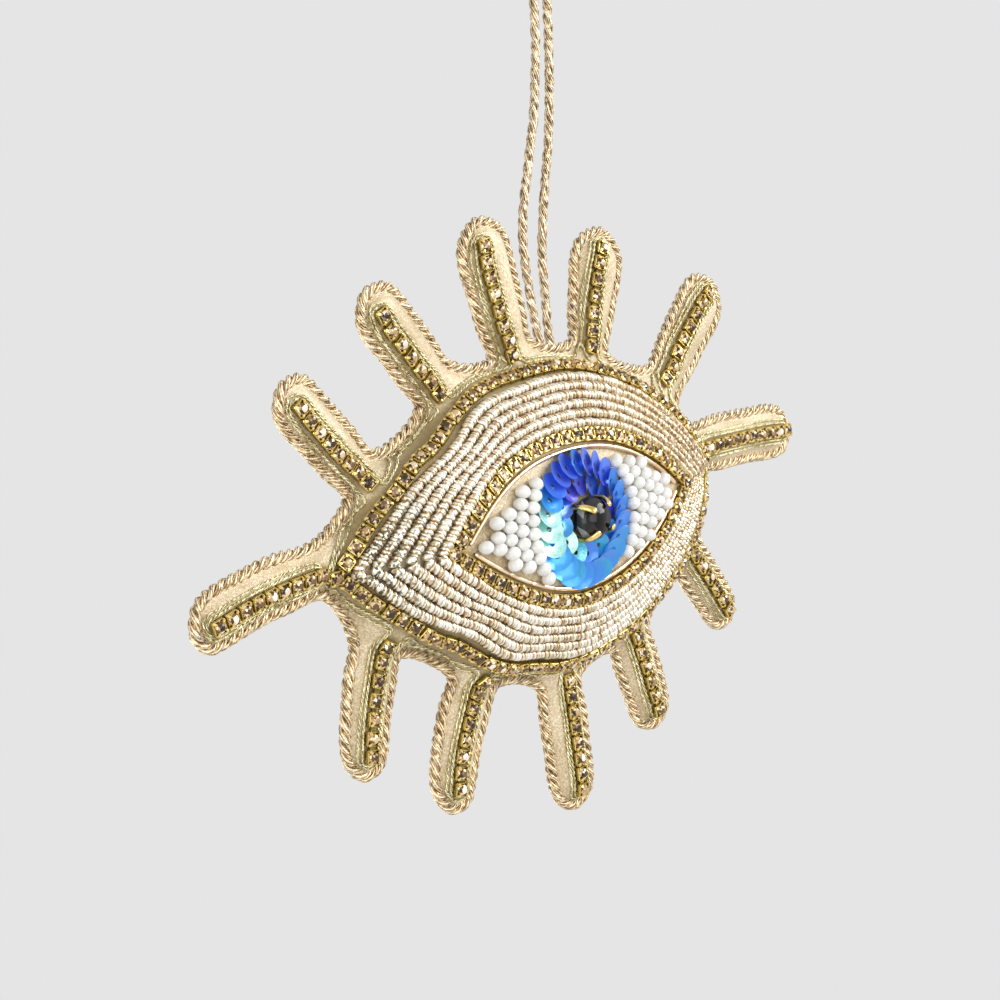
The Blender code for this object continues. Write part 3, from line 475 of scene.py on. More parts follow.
# Materials
class Nodes:
    """Shader nodes under construction, of a material or of the world."""

    def __init__(self, tree):
        self.tree = tree

    def put(self, socket, value):
        if isinstance(value, bpy.types.NodeSocket):
            self.tree.links.new(value, socket)
        else:
            socket.default_value = value

    def add(self, kind, settings=None, **inputs):
        node = self.tree.nodes.new(kind)
        for key, value in (settings or {}).items():
            setattr(node, key, value)
        for socket, value in inputs.items():
            self.put(node.inputs[socket.replace("_", " ")], value)
        return node

    def maths(self, operation, *values):
        node = self.add("ShaderNodeMath", {"operation": operation})
        for socket, value in zip(node.inputs, values):
            self.put(socket, value)
        return node.outputs[0]

    def axis(self, vector, axis):
        return self.add("ShaderNodeSeparateXYZ", Vector=vector).outputs[axis]

    def ramp(self, value, *stops):
        """Colours between stops of (position, colour)."""
        node = self.add("ShaderNodeValToRGB", Fac=value)
        elements = node.color_ramp.elements
        while len(elements) < len(stops):
            elements.new(0.5)
        for element, (position, colour) in zip(elements, stops):
            element.position = position
            element.color = (*colour, 1.0)
        return node.outputs["Color"]

    def seen(self):
        """1 for what is seen, also in a mirror or through glass, and 0 for what only lights."""
        ray = self.add("ShaderNodeLightPath").outputs
        seen = self.maths("MAXIMUM", ray["Is Camera Ray"], ray["Is Glossy Ray"])
        return self.maths("MAXIMUM", seen, ray["Is Transmission Ray"])


class Skin(Nodes):
    """A procedural material under construction."""

    def __init__(self, name, metallic, roughness, **levels):
        self.material = bpy.data.materials.new(name)
        self.material.use_nodes = True
        super().__init__(self.material.node_tree)
        self.sockets = self.tree.nodes["Principled BSDF"].inputs
        self.sockets["Metallic"].default_value = metallic
        self.sockets["Roughness"].default_value = roughness
        for socket, value in levels.items():
            self.sockets[socket.replace("_", " ")].default_value = value

    def place(self):
        return self.add("ShaderNodeTexCoord").outputs["Object"]

    def lay(self, axis):
        """Coordinate of the piece's own lay, 0 along it and 1 round it."""
        layer = self.add("ShaderNodeUVMap", {"uv_map": "lay"})
        return self.axis(layer.outputs[0], axis)

    def within(self, axis, start, end):
        """0 to 1 between two places on an axis of the row frame."""
        place = self.axis(self.place(), axis)
        return self.add("ShaderNodeMapRange", Value=place, From_Min=start, From_Max=end).outputs[0]

    def speckle(self, scale, detail=2.0, vector=None):
        return self.add("ShaderNodeTexNoise", Scale=scale, Detail=detail,
                        Vector=vector or self.place()).outputs["Fac"]

    def own(self, name="tone"):
        """Value that the piece's faces or points carry."""
        return self.add("ShaderNodeAttribute", {"attribute_name": name}).outputs["Fac"]

    def grain(self, scale, detail=2.0):
        """Speckle either side of nothing."""
        return self.maths("SUBTRACT", self.speckle(scale, detail), 0.5)

    def flecks(self, scale, start, end):
        """1 in scattered flecks and 0 between them."""
        return self.ramp(self.speckle(scale, 1.0), (start, (0.0,) * 3), (end, (1.0,) * 3))

    def scaled(self, value, by, plus):
        return self.maths("MULTIPLY_ADD", value, by, plus)

    def blend(self, share, base, colour):
        """Base colour mixed with another one by a share."""
        mixed = self.add("ShaderNodeMix", {"data_type": "RGBA"})
        for socket, value in ((0, share), (6, base), (7, (*colour, 1.0))):
            self.put(mixed.inputs[socket], value)
        return mixed.outputs[2]

    def colour(self, output):
        self.put(self.sockets["Base Color"], output)

    def bump(self, height, distance, strength=1.0):
        node = self.add("ShaderNodeBump", Height=height, Distance=distance * MM, Strength=strength)
        self.put(self.sockets["Normal"], node.outputs[0])


def fibres(skin, spacing, slant):
    """Wave of fine fibres across a ply, from the lay coordinates."""
    turn = skin.maths("MULTIPLY", skin.lay(1), slant)
    run = skin.maths("MULTIPLY", skin.lay(0), 2 * math.pi / spacing)
    wave = skin.maths("SINE", skin.maths("ADD", run, turn))
    return skin.scaled(wave, 0.5, 0.5)


def cord_skin(name, light, middle, dark, around=6.0, lead=1.9, cold_share=0.5):
    """Metallic yarn: light filaments round a ply with painted shade between them, broken into
    painted glints, with a few cold grey-blue painted glints.
    """
    skin = Skin(name, 0.5, 0.42)
    wave = fibres(skin, lead, around)
    tone = skin.scaled(skin.grain(1300.0, 3.0), 2.8, skin.scaled(wave, 0.7, 0.15))
    # Light filaments with painted shade between them, and painted glints from the fine speckle
    warm = skin.ramp(tone, (0.14, dark), (0.42, middle), (0.8, light))
    cold_glint = skin.maths("MULTIPLY", skin.flecks(1500.0, 0.60, 0.68), cold_share)
    skin.colour(skin.blend(cold_glint, warm, (0.42, 0.48, 0.56)))
    skin.bump(wave, 0.09, 0.9)
    return skin.material


def satin_skin(name, light, dark):
    """Satin with painted glitter, and painted olive shade beside the chains."""
    skin = Skin(name, 0.12, 0.52, Sheen_Weight=0.2)
    tone = skin.scaled(skin.grain(3400.0, 3.0), 1.7, skin.speckle(160.0, 3.0))
    # The top stop paints scattered glitter, a painted highlight
    plain = skin.ramp(tone, (0.2, dark), (0.62, light), (1.0, (0.86, 0.79, 0.62)))
    # Painted shade: olive beside the chains
    near = skin.maths("MULTIPLY", skin.own("chain_shade"), 0.75)
    skin.colour(skin.blend(near, plain, (0.25, 0.175, 0.055)))
    stretched = skin.add("ShaderNodeMapping", Vector=skin.place(), Scale=(1.0, 1.0, 0.25))
    skin.bump(skin.speckle(3200.0, 2.0, stretched.outputs[0]), 0.07, 0.7)
    return skin.material


def metal_skin(name, light, dark, roughness, scale=900.0):
    skin = Skin(name, 1.0, roughness)
    skin.colour(skin.ramp(skin.speckle(scale), (0.35, dark), (0.6, light)))
    return skin.material


def coil_skin():
    """Coiled wire with painted light: each turn gets a painted highlight of its own on its crest,
    and painted brown shade fills the hollows and the row's sides.
    """
    skin = Skin("coil_silver", 0.6, 0.3)
    turn = skin.maths("MULTIPLY", skin.lay(0), math.pi)
    # Painted highlight on each turn's crest, painted shade towards the row's sides
    crest_highlight = skin.maths("ABSOLUTE", skin.maths("COSINE", turn))
    flank_shade = skin.maths("ABSOLUTE", skin.maths("SUBTRACT", skin.lay(1), 0.5))
    tone = skin.scaled(crest_highlight, 0.72, skin.own())
    tone = skin.scaled(skin.maths("POWER", flank_shade, 2.0), -1.1, tone)
    tone = skin.scaled(skin.grain(1500.0), 1.1, tone)
    # Painted light: brighter towards the left
    tone = skin.maths("ADD", tone, skin.scaled(skin.within(0, 0.0, -0.026), 0.14, -0.08))
    # Painted light: duller and finer at the upper right, brighter at the lower right
    painted_dim_zone = skin.maths("MULTIPLY", skin.within(0, 0.004, 0.024), skin.within(2, -0.106, -0.094))
    calm = skin.scaled(skin.grain(2100.0), 3.4, 0.4)
    change = skin.maths("MULTIPLY", painted_dim_zone, skin.maths("SUBTRACT", calm, tone))
    tone = skin.scaled(change, 0.92, tone)
    low = skin.maths("MULTIPLY", skin.within(0, 0.0, 0.02), skin.within(2, -0.112, -0.124))
    tone = skin.scaled(low, 0.34, tone)
    silver = skin.ramp(tone, (0.2, (0.27, 0.16, 0.07)), (0.5, (0.54, 0.40, 0.23)),
                       (0.8, (0.76, 0.67, 0.50)), (1.0, (0.91, 0.89, 0.83)))
    # Dark flecks at the left corner of the eye
    dark = skin.maths("MULTIPLY", skin.flecks(1900.0, 0.53, 0.59), skin.within(0, -0.028, -0.040))
    skin.colour(skin.blend(dark, silver, (0.11, 0.11, 0.075)))
    return skin.material


def chain_skin():
    """Cup metal: olive walls, painted highlights on the lips and prong tips, and painted shade
    inside the cups and on the links.
    """
    skin = Skin("brass", 0.9, 0.26)
    tone = skin.scaled(skin.grain(900.0), 0.5, skin.own())
    skin.colour(skin.ramp(tone, (0.1, (0.11, 0.075, 0.02)), (0.5, (0.43, 0.325, 0.075)),
                          (0.95, (0.88, 0.68, 0.25))))
    return skin.material


def stone_skin():
    skin = Skin("champagne_stone", 0.35, 0.08)
    # Facet tones from dark brown to near white: the stone's champagne colour with painted
    # reflections and sparkle
    skin.colour(skin.ramp(skin.own(), (0.0, (0.035, 0.018, 0.006)), (0.35, (0.21, 0.12, 0.045)),
                          (0.7, (0.72, 0.50, 0.27)), (1.0, (0.98, 0.92, 0.80))))
    return skin.material


def bead_skin():
    skin = Skin("white_glass", 0.0, 0.16, Coat_Weight=0.4)
    skin.colour(skin.ramp(skin.speckle(500.0), (0.3, (0.69, 0.69, 0.665)),
                          (0.6, (0.79, 0.785, 0.75))))
    return skin.material


def film_skin(name, *blues):
    """Shiny film, each disc tinted by its place in the ring as a painted reflection, from
    violet-blue to a painted mint glint.
    """
    skin = Skin(name, 0.4, 0.28, Coat_Weight=0.2)
    tone = skin.scaled(skin.grain(420.0, 1.0), 0.3, skin.own())
    tone = skin.scaled(skin.grain(2800.0), 0.4, tone)
    skin.colour(skin.ramp(tone, *zip((0.1, 0.32, 0.56), blues), (0.74, (0.06, 0.47, 0.62)),
                          (1.0, (0.52, 0.86, 0.76))))
    return skin.material


def facet_skin():
    """Black glass, some of whose facets are painted grey as painted reflections."""
    skin = Skin("black_glass", 0.0, 0.1, Specular_IOR_Level=0.3)
    tone = skin.scaled(skin.speckle(600.0), 0.1, skin.own())
    skin.colour(skin.ramp(tone, (0.15, (0.003, 0.003, 0.004)), (0.65, (0.05, 0.052, 0.05)),
                          (1.0, (0.24, 0.25, 0.24))))
    return skin.material


cord_gold = cord_skin("cord_gold", (0.96, 0.80, 0.54), (0.64, 0.47, 0.25), (0.27, 0.165, 0.065))
loop_gold = cord_skin("loop_gold", (0.94, 0.80, 0.58), (0.58, 0.43, 0.24), (0.22, 0.135, 0.055))
satin = satin_skin("cloth_gold", (0.65, 0.535, 0.35), (0.45, 0.345, 0.19))
back_satin = satin_skin("back_cloth", (0.58, 0.475, 0.30), (0.42, 0.325, 0.175))
brass = chain_skin()
prong_gold = metal_skin("prong_gold", (0.95, 0.70, 0.26), (0.70, 0.45, 0.12), 0.18)
rose_wire = metal_skin("rose_wire", (1.0, 0.82, 0.62), (0.84, 0.60, 0.40), 0.3, 300.0)
coil_silver = coil_skin()
champagne_stone = stone_skin()
white_glass = bead_skin()
outer_film = film_skin("blue_film", (0.12, 0.22, 0.88), (0.065, 0.27, 0.87), (0.05, 0.36, 0.80))
inner_film = film_skin("violet_film", (0.14, 0.15, 0.74), (0.07, 0.19, 0.79), (0.06, 0.33, 0.78))
black_glass = facet_skin()
lurex_gold = cord_skin("lurex_gold", (1.0, 0.96, 0.66), (0.84, 0.73, 0.39), (0.42, 0.32, 0.11),
                       3.0, 0.8, 0.15)


def add_piece(name, verts, faces, skin, body="ornament", lay=None, tone=None, smooth=180.0):
    """A piece from points of the row frame and faces of one size, riding a body."""
    mesh = bpy.data.meshes.new(name)
    loops = faces.ravel()
    mesh.vertices.add(len(verts))
    mesh.vertices.foreach_set("co", np.asarray(verts, np.float32).ravel())
    mesh.loops.add(len(loops))
    mesh.loops.foreach_set("vertex_index", loops.astype(np.int32))
    mesh.polygons.add(len(faces))
    starts = np.arange(0, len(loops), faces.shape[1])
    mesh.polygons.foreach_set("loop_start", starts.astype(np.int32))
    if lay is not None:
        layer = mesh.uv_layers.new(name="lay")
        layer.data.foreach_set("uv", np.asarray(lay, np.float32)[loops].ravel())
    if tone is not None:
        values = mesh.attributes.new("tone", "FLOAT", "FACE")
        values.data.foreach_set("value", np.asarray(tone, np.float32))
    mesh.update(calc_edges=True)
    mesh.validate()
    if smooth:
        mesh.shade_smooth()
        if smooth < 180.0:
            mesh.set_sharp_from_angle(angle=math.radians(smooth))
    mesh.materials.append(skin)
    obj = bpy.data.objects.new(name, mesh)
    bpy.context.collection.objects.link(obj)
    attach(obj, body)
    return obj


def grid_faces(rings, wide, closed=False, wraps=False):
    """Quads over rings of points, wide in each. A closed grid joins its last ring to its first,
    and one that wraps joins the two ends of each ring."""
    i, j = np.meshgrid(np.arange(rings if closed else rings - 1),
                       np.arange(wide if wraps else wide - 1), indexing="ij")
    here, after, following = i * wide, (i + 1) % rings * wide, (j + 1) % wide
    corners = (here + j, here + following, after + following, after + j)
    return np.stack(corners, -1).reshape(-1, 4)


def path_axes(path, ups, closed):
    """Side and up directions square to a path."""
    along = unit(headings(path, closed))
    side = unit(np.cross(along, ups))
    return side, np.cross(side, along)


def lay_of(along, around):
    return np.stack(np.broadcast_arrays(along, around), -1).reshape(-1, 2)


def swept(path, ups, angle, reach):
    """Rings of points round an open path, reach being how far out they are."""
    side, up = path_axes(path, ups, False)
    return (path[:, None] + side[:, None] * (np.cos(angle) * reach)[..., None]
            + up[:, None] * (np.sin(angle) * reach)[..., None]).reshape(-1, 3)


def joined(parts):
    """One set of points, faces and lay coordinates from several."""
    verts, faces, lays = zip(*parts)
    starts = np.cumsum([0] + [len(points) for points in verts[:-1]])
    return np.vstack(verts), np.vstack([f + n for f, n in zip(faces, starts)]), np.vstack(lays)


def rope(path, ups, diameter, lead, closed=False, sides_count=10, plies=3):
    """Plies twisted together, a little unevenly: points, faces and lay coordinates."""
    side, up = path_axes(path, ups, closed)
    run = length_along(path)
    total = run[-1] + (np.linalg.norm(path[0] - path[-1]) if closed else 0.0)
    if closed:
        lead = total / round(total / lead)
    centre, radial, tangential = (diameter * share for share in PLY_SHAPES[plies])
    angle = np.linspace(-math.pi, math.pi, sides_count + 1)

    def wander(wave, phase):
        return np.sin(2 * math.pi * round(total / (wave * diameter)) * run / total + phase)

    strands = []
    for ply in range(plies):
        turn = 2 * math.pi * (run / lead + ply / plies) + 0.2 * wander(4.3, 1.0)
        turn += 0.12 * wander(2.1, ply * 2.0)
        girth = (1 + 0.06 * wander(1.7, ply * 2.1) + 0.05 * wander(3.9, ply))[:, None, None]
        outward = side * np.cos(turn)[:, None] + up * np.sin(turn)[:, None]
        across = -side * np.sin(turn)[:, None] + up * np.cos(turn)[:, None]
        ring = (path + outward * centre)[:, None] + girth * (
            outward[:, None] * (np.cos(angle) * radial)[None, :, None]
            + across[:, None] * (np.sin(angle) * tangential)[None, :, None])
        strands.append((ring.reshape(-1, 3), grid_faces(len(path), sides_count + 1, closed),
                        lay_of(run[:, None], angle)))
    return joined(strands)


# Cloth panels
def panel(name, heights, side, skin):
    """Cloth drawn to just inside the border cord's line, from the grid's points."""
    near = (grid_inside > -0.5) & (grid_inside < SEAM_ROOM)
    moved = grid_close + inwards(grid_points, grid_inside, grid_close) * SEAM_ROOM
    flat = np.where(near[:, None], moved, grid_points)
    corner = np.arange(len(flat)).reshape(GRID)
    quads = np.stack([corner[:-1, :-1], corner[1:, :-1], corner[1:, 1:], corner[:-1, 1:]], -1)
    quads = quads.reshape(-1, 4)
    depth = grid_inside[quads]
    quads = quads[(depth > -0.5).all(1) & (depth > SEAM_ROOM).any(1)]
    used, quads = np.unique(quads, return_inverse=True)
    quads = quads.reshape(-1, 4)
    if side < 0:
        quads = quads[:, ::-1]
    points = np.column_stack([flat[used], heights[used] * side])
    obj = add_piece(name, placed(points), quads, skin)
    # Painted olive shade beside the chains, on the front panel only
    shade_layer = obj.data.attributes.new("chain_shade", "FLOAT", "POINT")
    shade_layer.data.foreach_set("value", (chain_shade[used] * (side > 0)).astype(np.float32))
    return obj


pucker = np.zeros(len(grid_points))
for i in np.flatnonzero(grid_inside > 0):
    x, y = grid_points[i]
    share = min(max(grid_edge[i], 0.0), 1.5) / 1.5
    wide = noise.noise(Vector((x * 0.22, y * 0.22, 3.0)))
    fine = noise.noise(Vector((x * 0.8, y * 0.8, 7.0)))
    pucker[i] = share * (wide * 0.16 + fine * 0.07)
front = panel("satin_front", ground.heights.ravel() + pucker, 1, satin)
cushions = ["body_padding"] + [f"lash_padding_{k:02d}" for k in range(1, 13)]
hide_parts("front_panel", *cushions)
back_heights = face_height(grid_points, grid_edge, BACK_DOME_HEIGHT, LASH_BACK_HEIGHT)
over = back_heights - BACK_FLAT_HEIGHT
back_heights = BACK_FLAT_HEIGHT + (over - np.sqrt(over ** 2 + 0.15)) / 2
back = panel("satin_back", np.maximum(back_heights, 0.3) + pucker * 0.5, -1, back_satin)
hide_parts("back_panel")

# Border cord
path = even_ring(border, BORDER_STEP)
path = np.column_stack([path, np.zeros(len(path))])
verts, faces, lay = rope(path, np.array((0.0, 0.0, 1.0)), BORDER_CORD * BORDER_FULLNESS,
                         BORDER_LAY, True)
cord = add_piece("border_rope", placed(verts), faces, cord_gold, lay=lay)
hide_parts("border_cord")

# Hanging loop
crown = (-LOOP_SIDE, LOOP_DROP - LOOP_CORD / 2)
route = smooth_points(LEFT_STRAND + (crown,) + RIGHT_STRAND[::-1], 24, False)
route = even_points(route, LOOP_STEP)
route = np.column_stack([route[:, 0] + LOOP_SIDE, np.zeros(len(route)), route[:, 1] - LOOP_DROP])
verts, faces, lay = rope(route, np.array((0.0, -1.0, 0.0)), LOOP_CORD, LOOP_LAY)
loop = add_piece("loop_rope", verts * MM, faces, loop_gold, body="loop", lay=lay)
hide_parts("hanging_loop")


# Cup chains
def octagon(half, cut):
    return [(half, -half + cut), (half, half - cut), (half - cut, half), (-half + cut, half),
            (-half, half - cut), (-half, -half + cut), (-half + cut, -half), (half - cut, -half)]


def circle(radius, height, count, shift):
    """Points round the w axis, the first one turned by shift of their spacing."""
    turns = [2 * math.pi * (k + shift) / count for k in range(count)]
    return [(radius * math.cos(turn), radius * math.sin(turn), height) for turn in turns]


def cup_template():
    """Square cup with a rolled lip and four prong tips."""
    half = CUP / 2
    rings = ((half - 0.06, 0.0, 0.16), (half, 0.12, 0.16), (half, CUP_HEIGHT - 0.12, 0.16),
             (half - 0.06, CUP_HEIGHT, 0.16), (half - 0.16, CUP_HEIGHT, 0.2),
             (half - 0.2, CUP_HEIGHT - 0.12, 0.2), (half - 0.2, 0.35, 0.2))
    verts = [(x, y, height) for size, height, cut in rings for x, y in octagon(size, cut)]
    floor = np.array(((0, 1, 2, 3), (0, 3, 4, 7), (4, 5, 6, 7))) + len(verts) - 8
    quads = [grid_faces(len(rings), 8, wraps=True), floor]
    for k in range(4):
        turn = math.pi / 2 * k + math.pi / 4
        out = np.array((math.cos(turn), math.sin(turn)))
        across = np.array((-out[1], out[0]))
        base = len(verts)
        for reach, height, width in ((half * 1.22, 0.45, 0.22), (half * 1.25, 0.98, 0.2),
                                     (half * 1.02, 1.22, 0.17), (half * 0.74, 1.2, 0.12)):
            for lift, step in ((0.0, -1), (0.0, 1), (-0.16, 1), (-0.16, -1)):
                inner = out * (reach - (0.12 if lift and height < 1 else 0.0))
                spot = inner + across * width * step
                verts.append((*spot, height + (lift if height > 1 else 0.0)))
        quads += [grid_faces(4, 4, wraps=True) + base, np.arange(12, 16)[None] + base]
    quads = np.vstack(quads)
    # Walls, lip, inside and prongs: lip and prongs lighter as painted highlights, inside darker as
    # painted shade
    tone = [0.45] * 16 + [0.75] * 24 + [0.2] * 11 + [1.0] * (len(quads) - 51)
    return np.array(verts), quads, np.array(tone)


def stone_facets():
    """Round crown: 16 girdle points, 8 star points and an 8-sided table."""
    verts = circle(0.96, 0.70, 16, 0.0) + circle(0.80, 1.0, 8, 0.5) + circle(0.50, 1.32, 8, 0.0)
    triangles = []
    for k in range(8):
        n = (k + 1) % 8
        g0, g1, g2 = 2 * k, 2 * k + 1, (2 * k + 2) % 16
        star, last = 16 + k, 16 + (k - 1) % 8
        triangles += [(g0, g1, star), (g1, g2, star), (g0, star, last)]
        triangles += [(24 + k, star, 24 + n), (24 + k, last, star)]
    triangles += [(24, 24 + k, 25 + k) for k in range(1, 7)]
    return np.array(verts), np.array(triangles)


CUP_VERTS, CUP_QUADS, CUP_PAINTED_LIGHT = cup_template()
STONE_VERTS, STONE_FACETS = stone_facets()
LINK_VERTS = np.array([(x, y, z) for x in (-0.3, 0.3) for y, z in
                       ((-0.4, 0.12), (0.4, 0.12), (0.4, 0.45), (-0.4, 0.45))])


def instanced(template, origins, axes):
    return (origins[:, None] + template @ axes).reshape(-1, 3)


def repeated(faces, points_each, count):
    starts = np.arange(count)[:, None, None] * points_each
    return (faces[None] + starts).reshape(-1, faces.shape[1])


def add_chain(name, line, closed, node):
    """Cups with links between them as one piece, and their stones as another."""
    origins, normals = ground.above(line, CHAIN_RISE)
    axes = axes_on(level(headings(origins, closed), normals), normals)
    count = len(origins)
    tilt = chance.normal(0.0, 0.05, (count, 2))
    axes[:, 2] += axes[:, 0] * tilt[:, :1] + axes[:, 1] * tilt[:, 1:]
    axes[:, 2] = unit(axes[:, 2])
    axes[:, 1] = unit(np.cross(axes[:, 2], axes[:, 0]))
    axes[:, 0] = np.cross(axes[:, 1], axes[:, 2])
    links = np.arange(count if closed else count - 1)
    following = (links + 1) % count
    middles = (origins[links] + origins[following]) / 2
    verts = np.vstack([instanced(CUP_VERTS, origins, axes),
                       instanced(LINK_VERTS, middles, unit(axes[links] + axes[following]))])
    bars = repeated(grid_faces(2, 4, wraps=True), len(LINK_VERTS), len(links))
    quads = np.vstack([repeated(CUP_QUADS, len(CUP_VERTS), count), bars + len(CUP_VERTS) * count])
    # The link bars are darker as painted shade in the gaps between cups
    tone = np.concatenate([np.tile(CUP_PAINTED_LIGHT, count), np.full(len(bars), 0.3)])
    metal = add_piece(f"{name}_cups", placed(verts), quads, brass, tone=tone, smooth=35)
    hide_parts(node)
    spin = chance.uniform(0, math.pi / 4, count)
    turns = np.zeros((count, 3, 3))
    turns[:, 0, 0] = turns[:, 1, 1] = np.cos(spin)
    turns[:, 0, 1], turns[:, 1, 0] = np.sin(spin), -np.sin(spin)
    turns[:, 2, 2] = 1
    stones = instanced(STONE_VERTS @ turns, origins, axes)
    # Facets dark to near white at random, as painted reflections and sparkle
    tone = np.empty((count, len(STONE_FACETS)))
    tone[:, :40] = np.repeat(chance.beta(0.5, 0.85, (count, 20)), 2, axis=1)
    tone[:, 40:] = chance.beta(0.6, 0.9, (count, 1))
    add_piece(f"{name}_stones", placed(stones), repeated(STONE_FACETS, len(STONE_VERTS), count),
              champagne_stone, tone=tone.ravel(), smooth=0)


add_chain("rim", sites["rim"], True, "rim_chain")
add_chain("eye", sites["eye"], True, "eye_chain")
for number, line in enumerate(lash_lines, 1):
    add_chain(f"lash_{number:02d}", line, False, f"lash_chain_{number:02d}")


# Couched lurex threads, up one side of each lash chain, round its end and back
def lurex_line(offset):
    """Closed line at an offset from the chains, over the lashes and along the rim."""
    rim = sites["rim"]
    outer = rim + leftwards(unit(headings(rim, True))) * offset
    runs = []
    for line in lash_lines:
        ways = unit(np.gradient(line, axis=0))
        left = leftwards(ways)
        end, way, side = line[-1], ways[-1], left[-1]
        arc = [end + (side * math.cos(t) + way * math.sin(t)) * offset
               for t in np.radians((30, 60, 90, 120, 150))]
        runs.append(np.vstack([line + left * offset, arc, (line - left * offset)[::-1]]))
    whole = []
    for i, run in enumerate(runs):
        following = runs[(i + 1) % len(runs)]
        whole.append(run)
        leave = np.linalg.norm(outer - run[-1], axis=1).argmin()
        arrive = np.linalg.norm(outer - following[0], axis=1).argmin()
        steps = (arrive - leave) % len(outer)
        if 0 < steps < len(outer) / 2:
            whole.append(outer[(leave + np.arange(steps + 1)) % len(outer)])
    return kept_clear(eased(even_ring(np.vstack(whole), 0.5), 3), -0.1)


strands = []
for offset in LUREX_OFFSETS:
    path, normals = ground.above(even_points(lurex_line(offset), LUREX_STEP), LUREX * 0.4)
    strands.append(rope(path, normals, LUREX, LUREX_LAY, sides_count=7, plies=2))
verts, faces, lay = joined(strands)
add_piece("lurex_threads", placed(verts), faces, lurex_gold, lay=lay)

# Couched coil rows, each running on round the corners of the eye
halves = {}
for upper in (True, False):
    edges = [divided(mitred(beside(sides[name, upper], margin, upper), 0.05, upper), ROW_CROSSINGS)
             for name, margin in (("rim", ROW_MARGIN), ("eye", -ROW_MARGIN))]
    crossings = []
    for a, b in zip(*edges):
        line = a + (b - a) * np.linspace(0, 1, 9)[:, None]
        crossings.append(divided(ground.seat(line), ROW_COUNT - 1)[:, :2])
    halves[upper] = np.array(crossings)
rounds = []
for row in range(ROW_COUNT):
    line = np.vstack([halves[True][:, row], halves[False][::-1, row]])
    rounds.append(eased(even_ring(line, 0.5), 8))
for row, line in enumerate(rounds):
    seats = ground.seat(line)
    room = np.full(len(line), 1e9)
    for other in rounds[max(row - 1, 0):row] + rounds[row + 1:row + 2]:
        gaps = np.linalg.norm(seats[:, None] - ground.seat(other)[None], axis=2).min(1)
        room = np.minimum(room, gaps)
    radius = eased(np.clip(room * COIL_SHARE, *COIL_RADII), 6)
    above_axis = eye_local(line)[:, 1] >= 0
    for place, wanted in (("upper", True), ("lower", False)):
        start = np.flatnonzero((above_axis == wanted) & (np.roll(above_axis, 1) != wanted))[0]
        count = np.count_nonzero(above_axis == wanted)
        chosen = (start + np.arange(count + 1)) % len(line)
        coarse = np.column_stack([line[chosen], radius[chosen]])
        dense = even_points(coarse, COIL_STEP)
        run = length_along(dense[:, :2])
        radii = dense[:, 2] * (1 + 0.03 * np.sin(run * 1.1 + row) + 0.02 * np.sin(run * 3.7))
        path, normals = ground.above(dense[:, :2], radii * COIL_LIFT)
        angle = np.radians(np.linspace(-35, 215, COIL_SIDES))
        turn = run[:, None] / COIL_RIB + 0.55 * angle[None] / math.pi
        turn = turn + 0.22 * np.sin(run * 2.3 + row)[:, None] + 0.12 * np.sin(run * 5.9)[:, None]
        rib = np.floor(turn + 0.5).astype(int)
        girth = chance.normal(1.0, 0.065, rib.max() + 2)
        # Painted highlight: a brightness of each turn's own
        shine = chance.beta(0.9, 0.9, rib.max() + 2) * 0.5 + 0.03
        reach = radii[:, None] * (0.72 + 0.28 * np.abs(np.cos(math.pi * turn)) ** 0.7) * girth[rib]
        coil = add_piece(f"coil_{place}_{row + 1}", placed(swept(path, normals, angle, reach)),
                         grid_faces(len(path), COIL_SIDES), coil_silver,
                         lay=lay_of(turn, angle / math.pi), tone=shine[rib[:-1, :-1]].ravel())
        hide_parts(f"coil_row_{place}_{row + 1}")

# Smooth wire along the inner eye, in short pieces
trim_margin = CUP / 2 + GAP + TRIM_WIRE / 2
for place, upper in (("upper", True), ("lower", False)):
    side = mitred(beside(sides["eye", upper], trim_margin, upper), TRIM_WIRE, upper)
    path, normals = ground.above(even_points(side, 0.2), TRIM_WIRE / 2 + 0.1)
    run = length_along(path)
    radii = np.full(len(path), TRIM_WIRE / 2)
    joint = 0.0
    while joint < run[-1]:
        radii *= 1 - 0.55 * np.exp(-((run - joint) / 0.14) ** 2)
        joint += chance.uniform(5.0, 9.0)
    angle = np.linspace(-math.pi / 2, 1.5 * math.pi, WIRE_SIDES + 1)
    wire = add_piece(f"eye_edge_{place}", placed(swept(path, normals, angle, radii[:, None])),
                     grid_faces(len(path), WIRE_SIDES + 1), rose_wire,
                     lay=lay_of(run[:, None], angle / (2 * math.pi)))
    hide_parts(f"eye_wire_{place}")


# Seed beads
def ball(around, rings):
    """Unit ball: points and quads, closed with thin caps."""
    tilt = np.linspace(0.02, math.pi - 0.02, rings)
    turn = np.linspace(0, 2 * math.pi, around, endpoint=False)
    verts = np.stack([np.outer(np.cos(tilt), np.ones(around)),
                      np.outer(np.sin(tilt), np.cos(turn)),
                      np.outer(np.sin(tilt), np.sin(turn))], -1).reshape(-1, 3)
    return verts, grid_faces(rings, around, wraps=True)


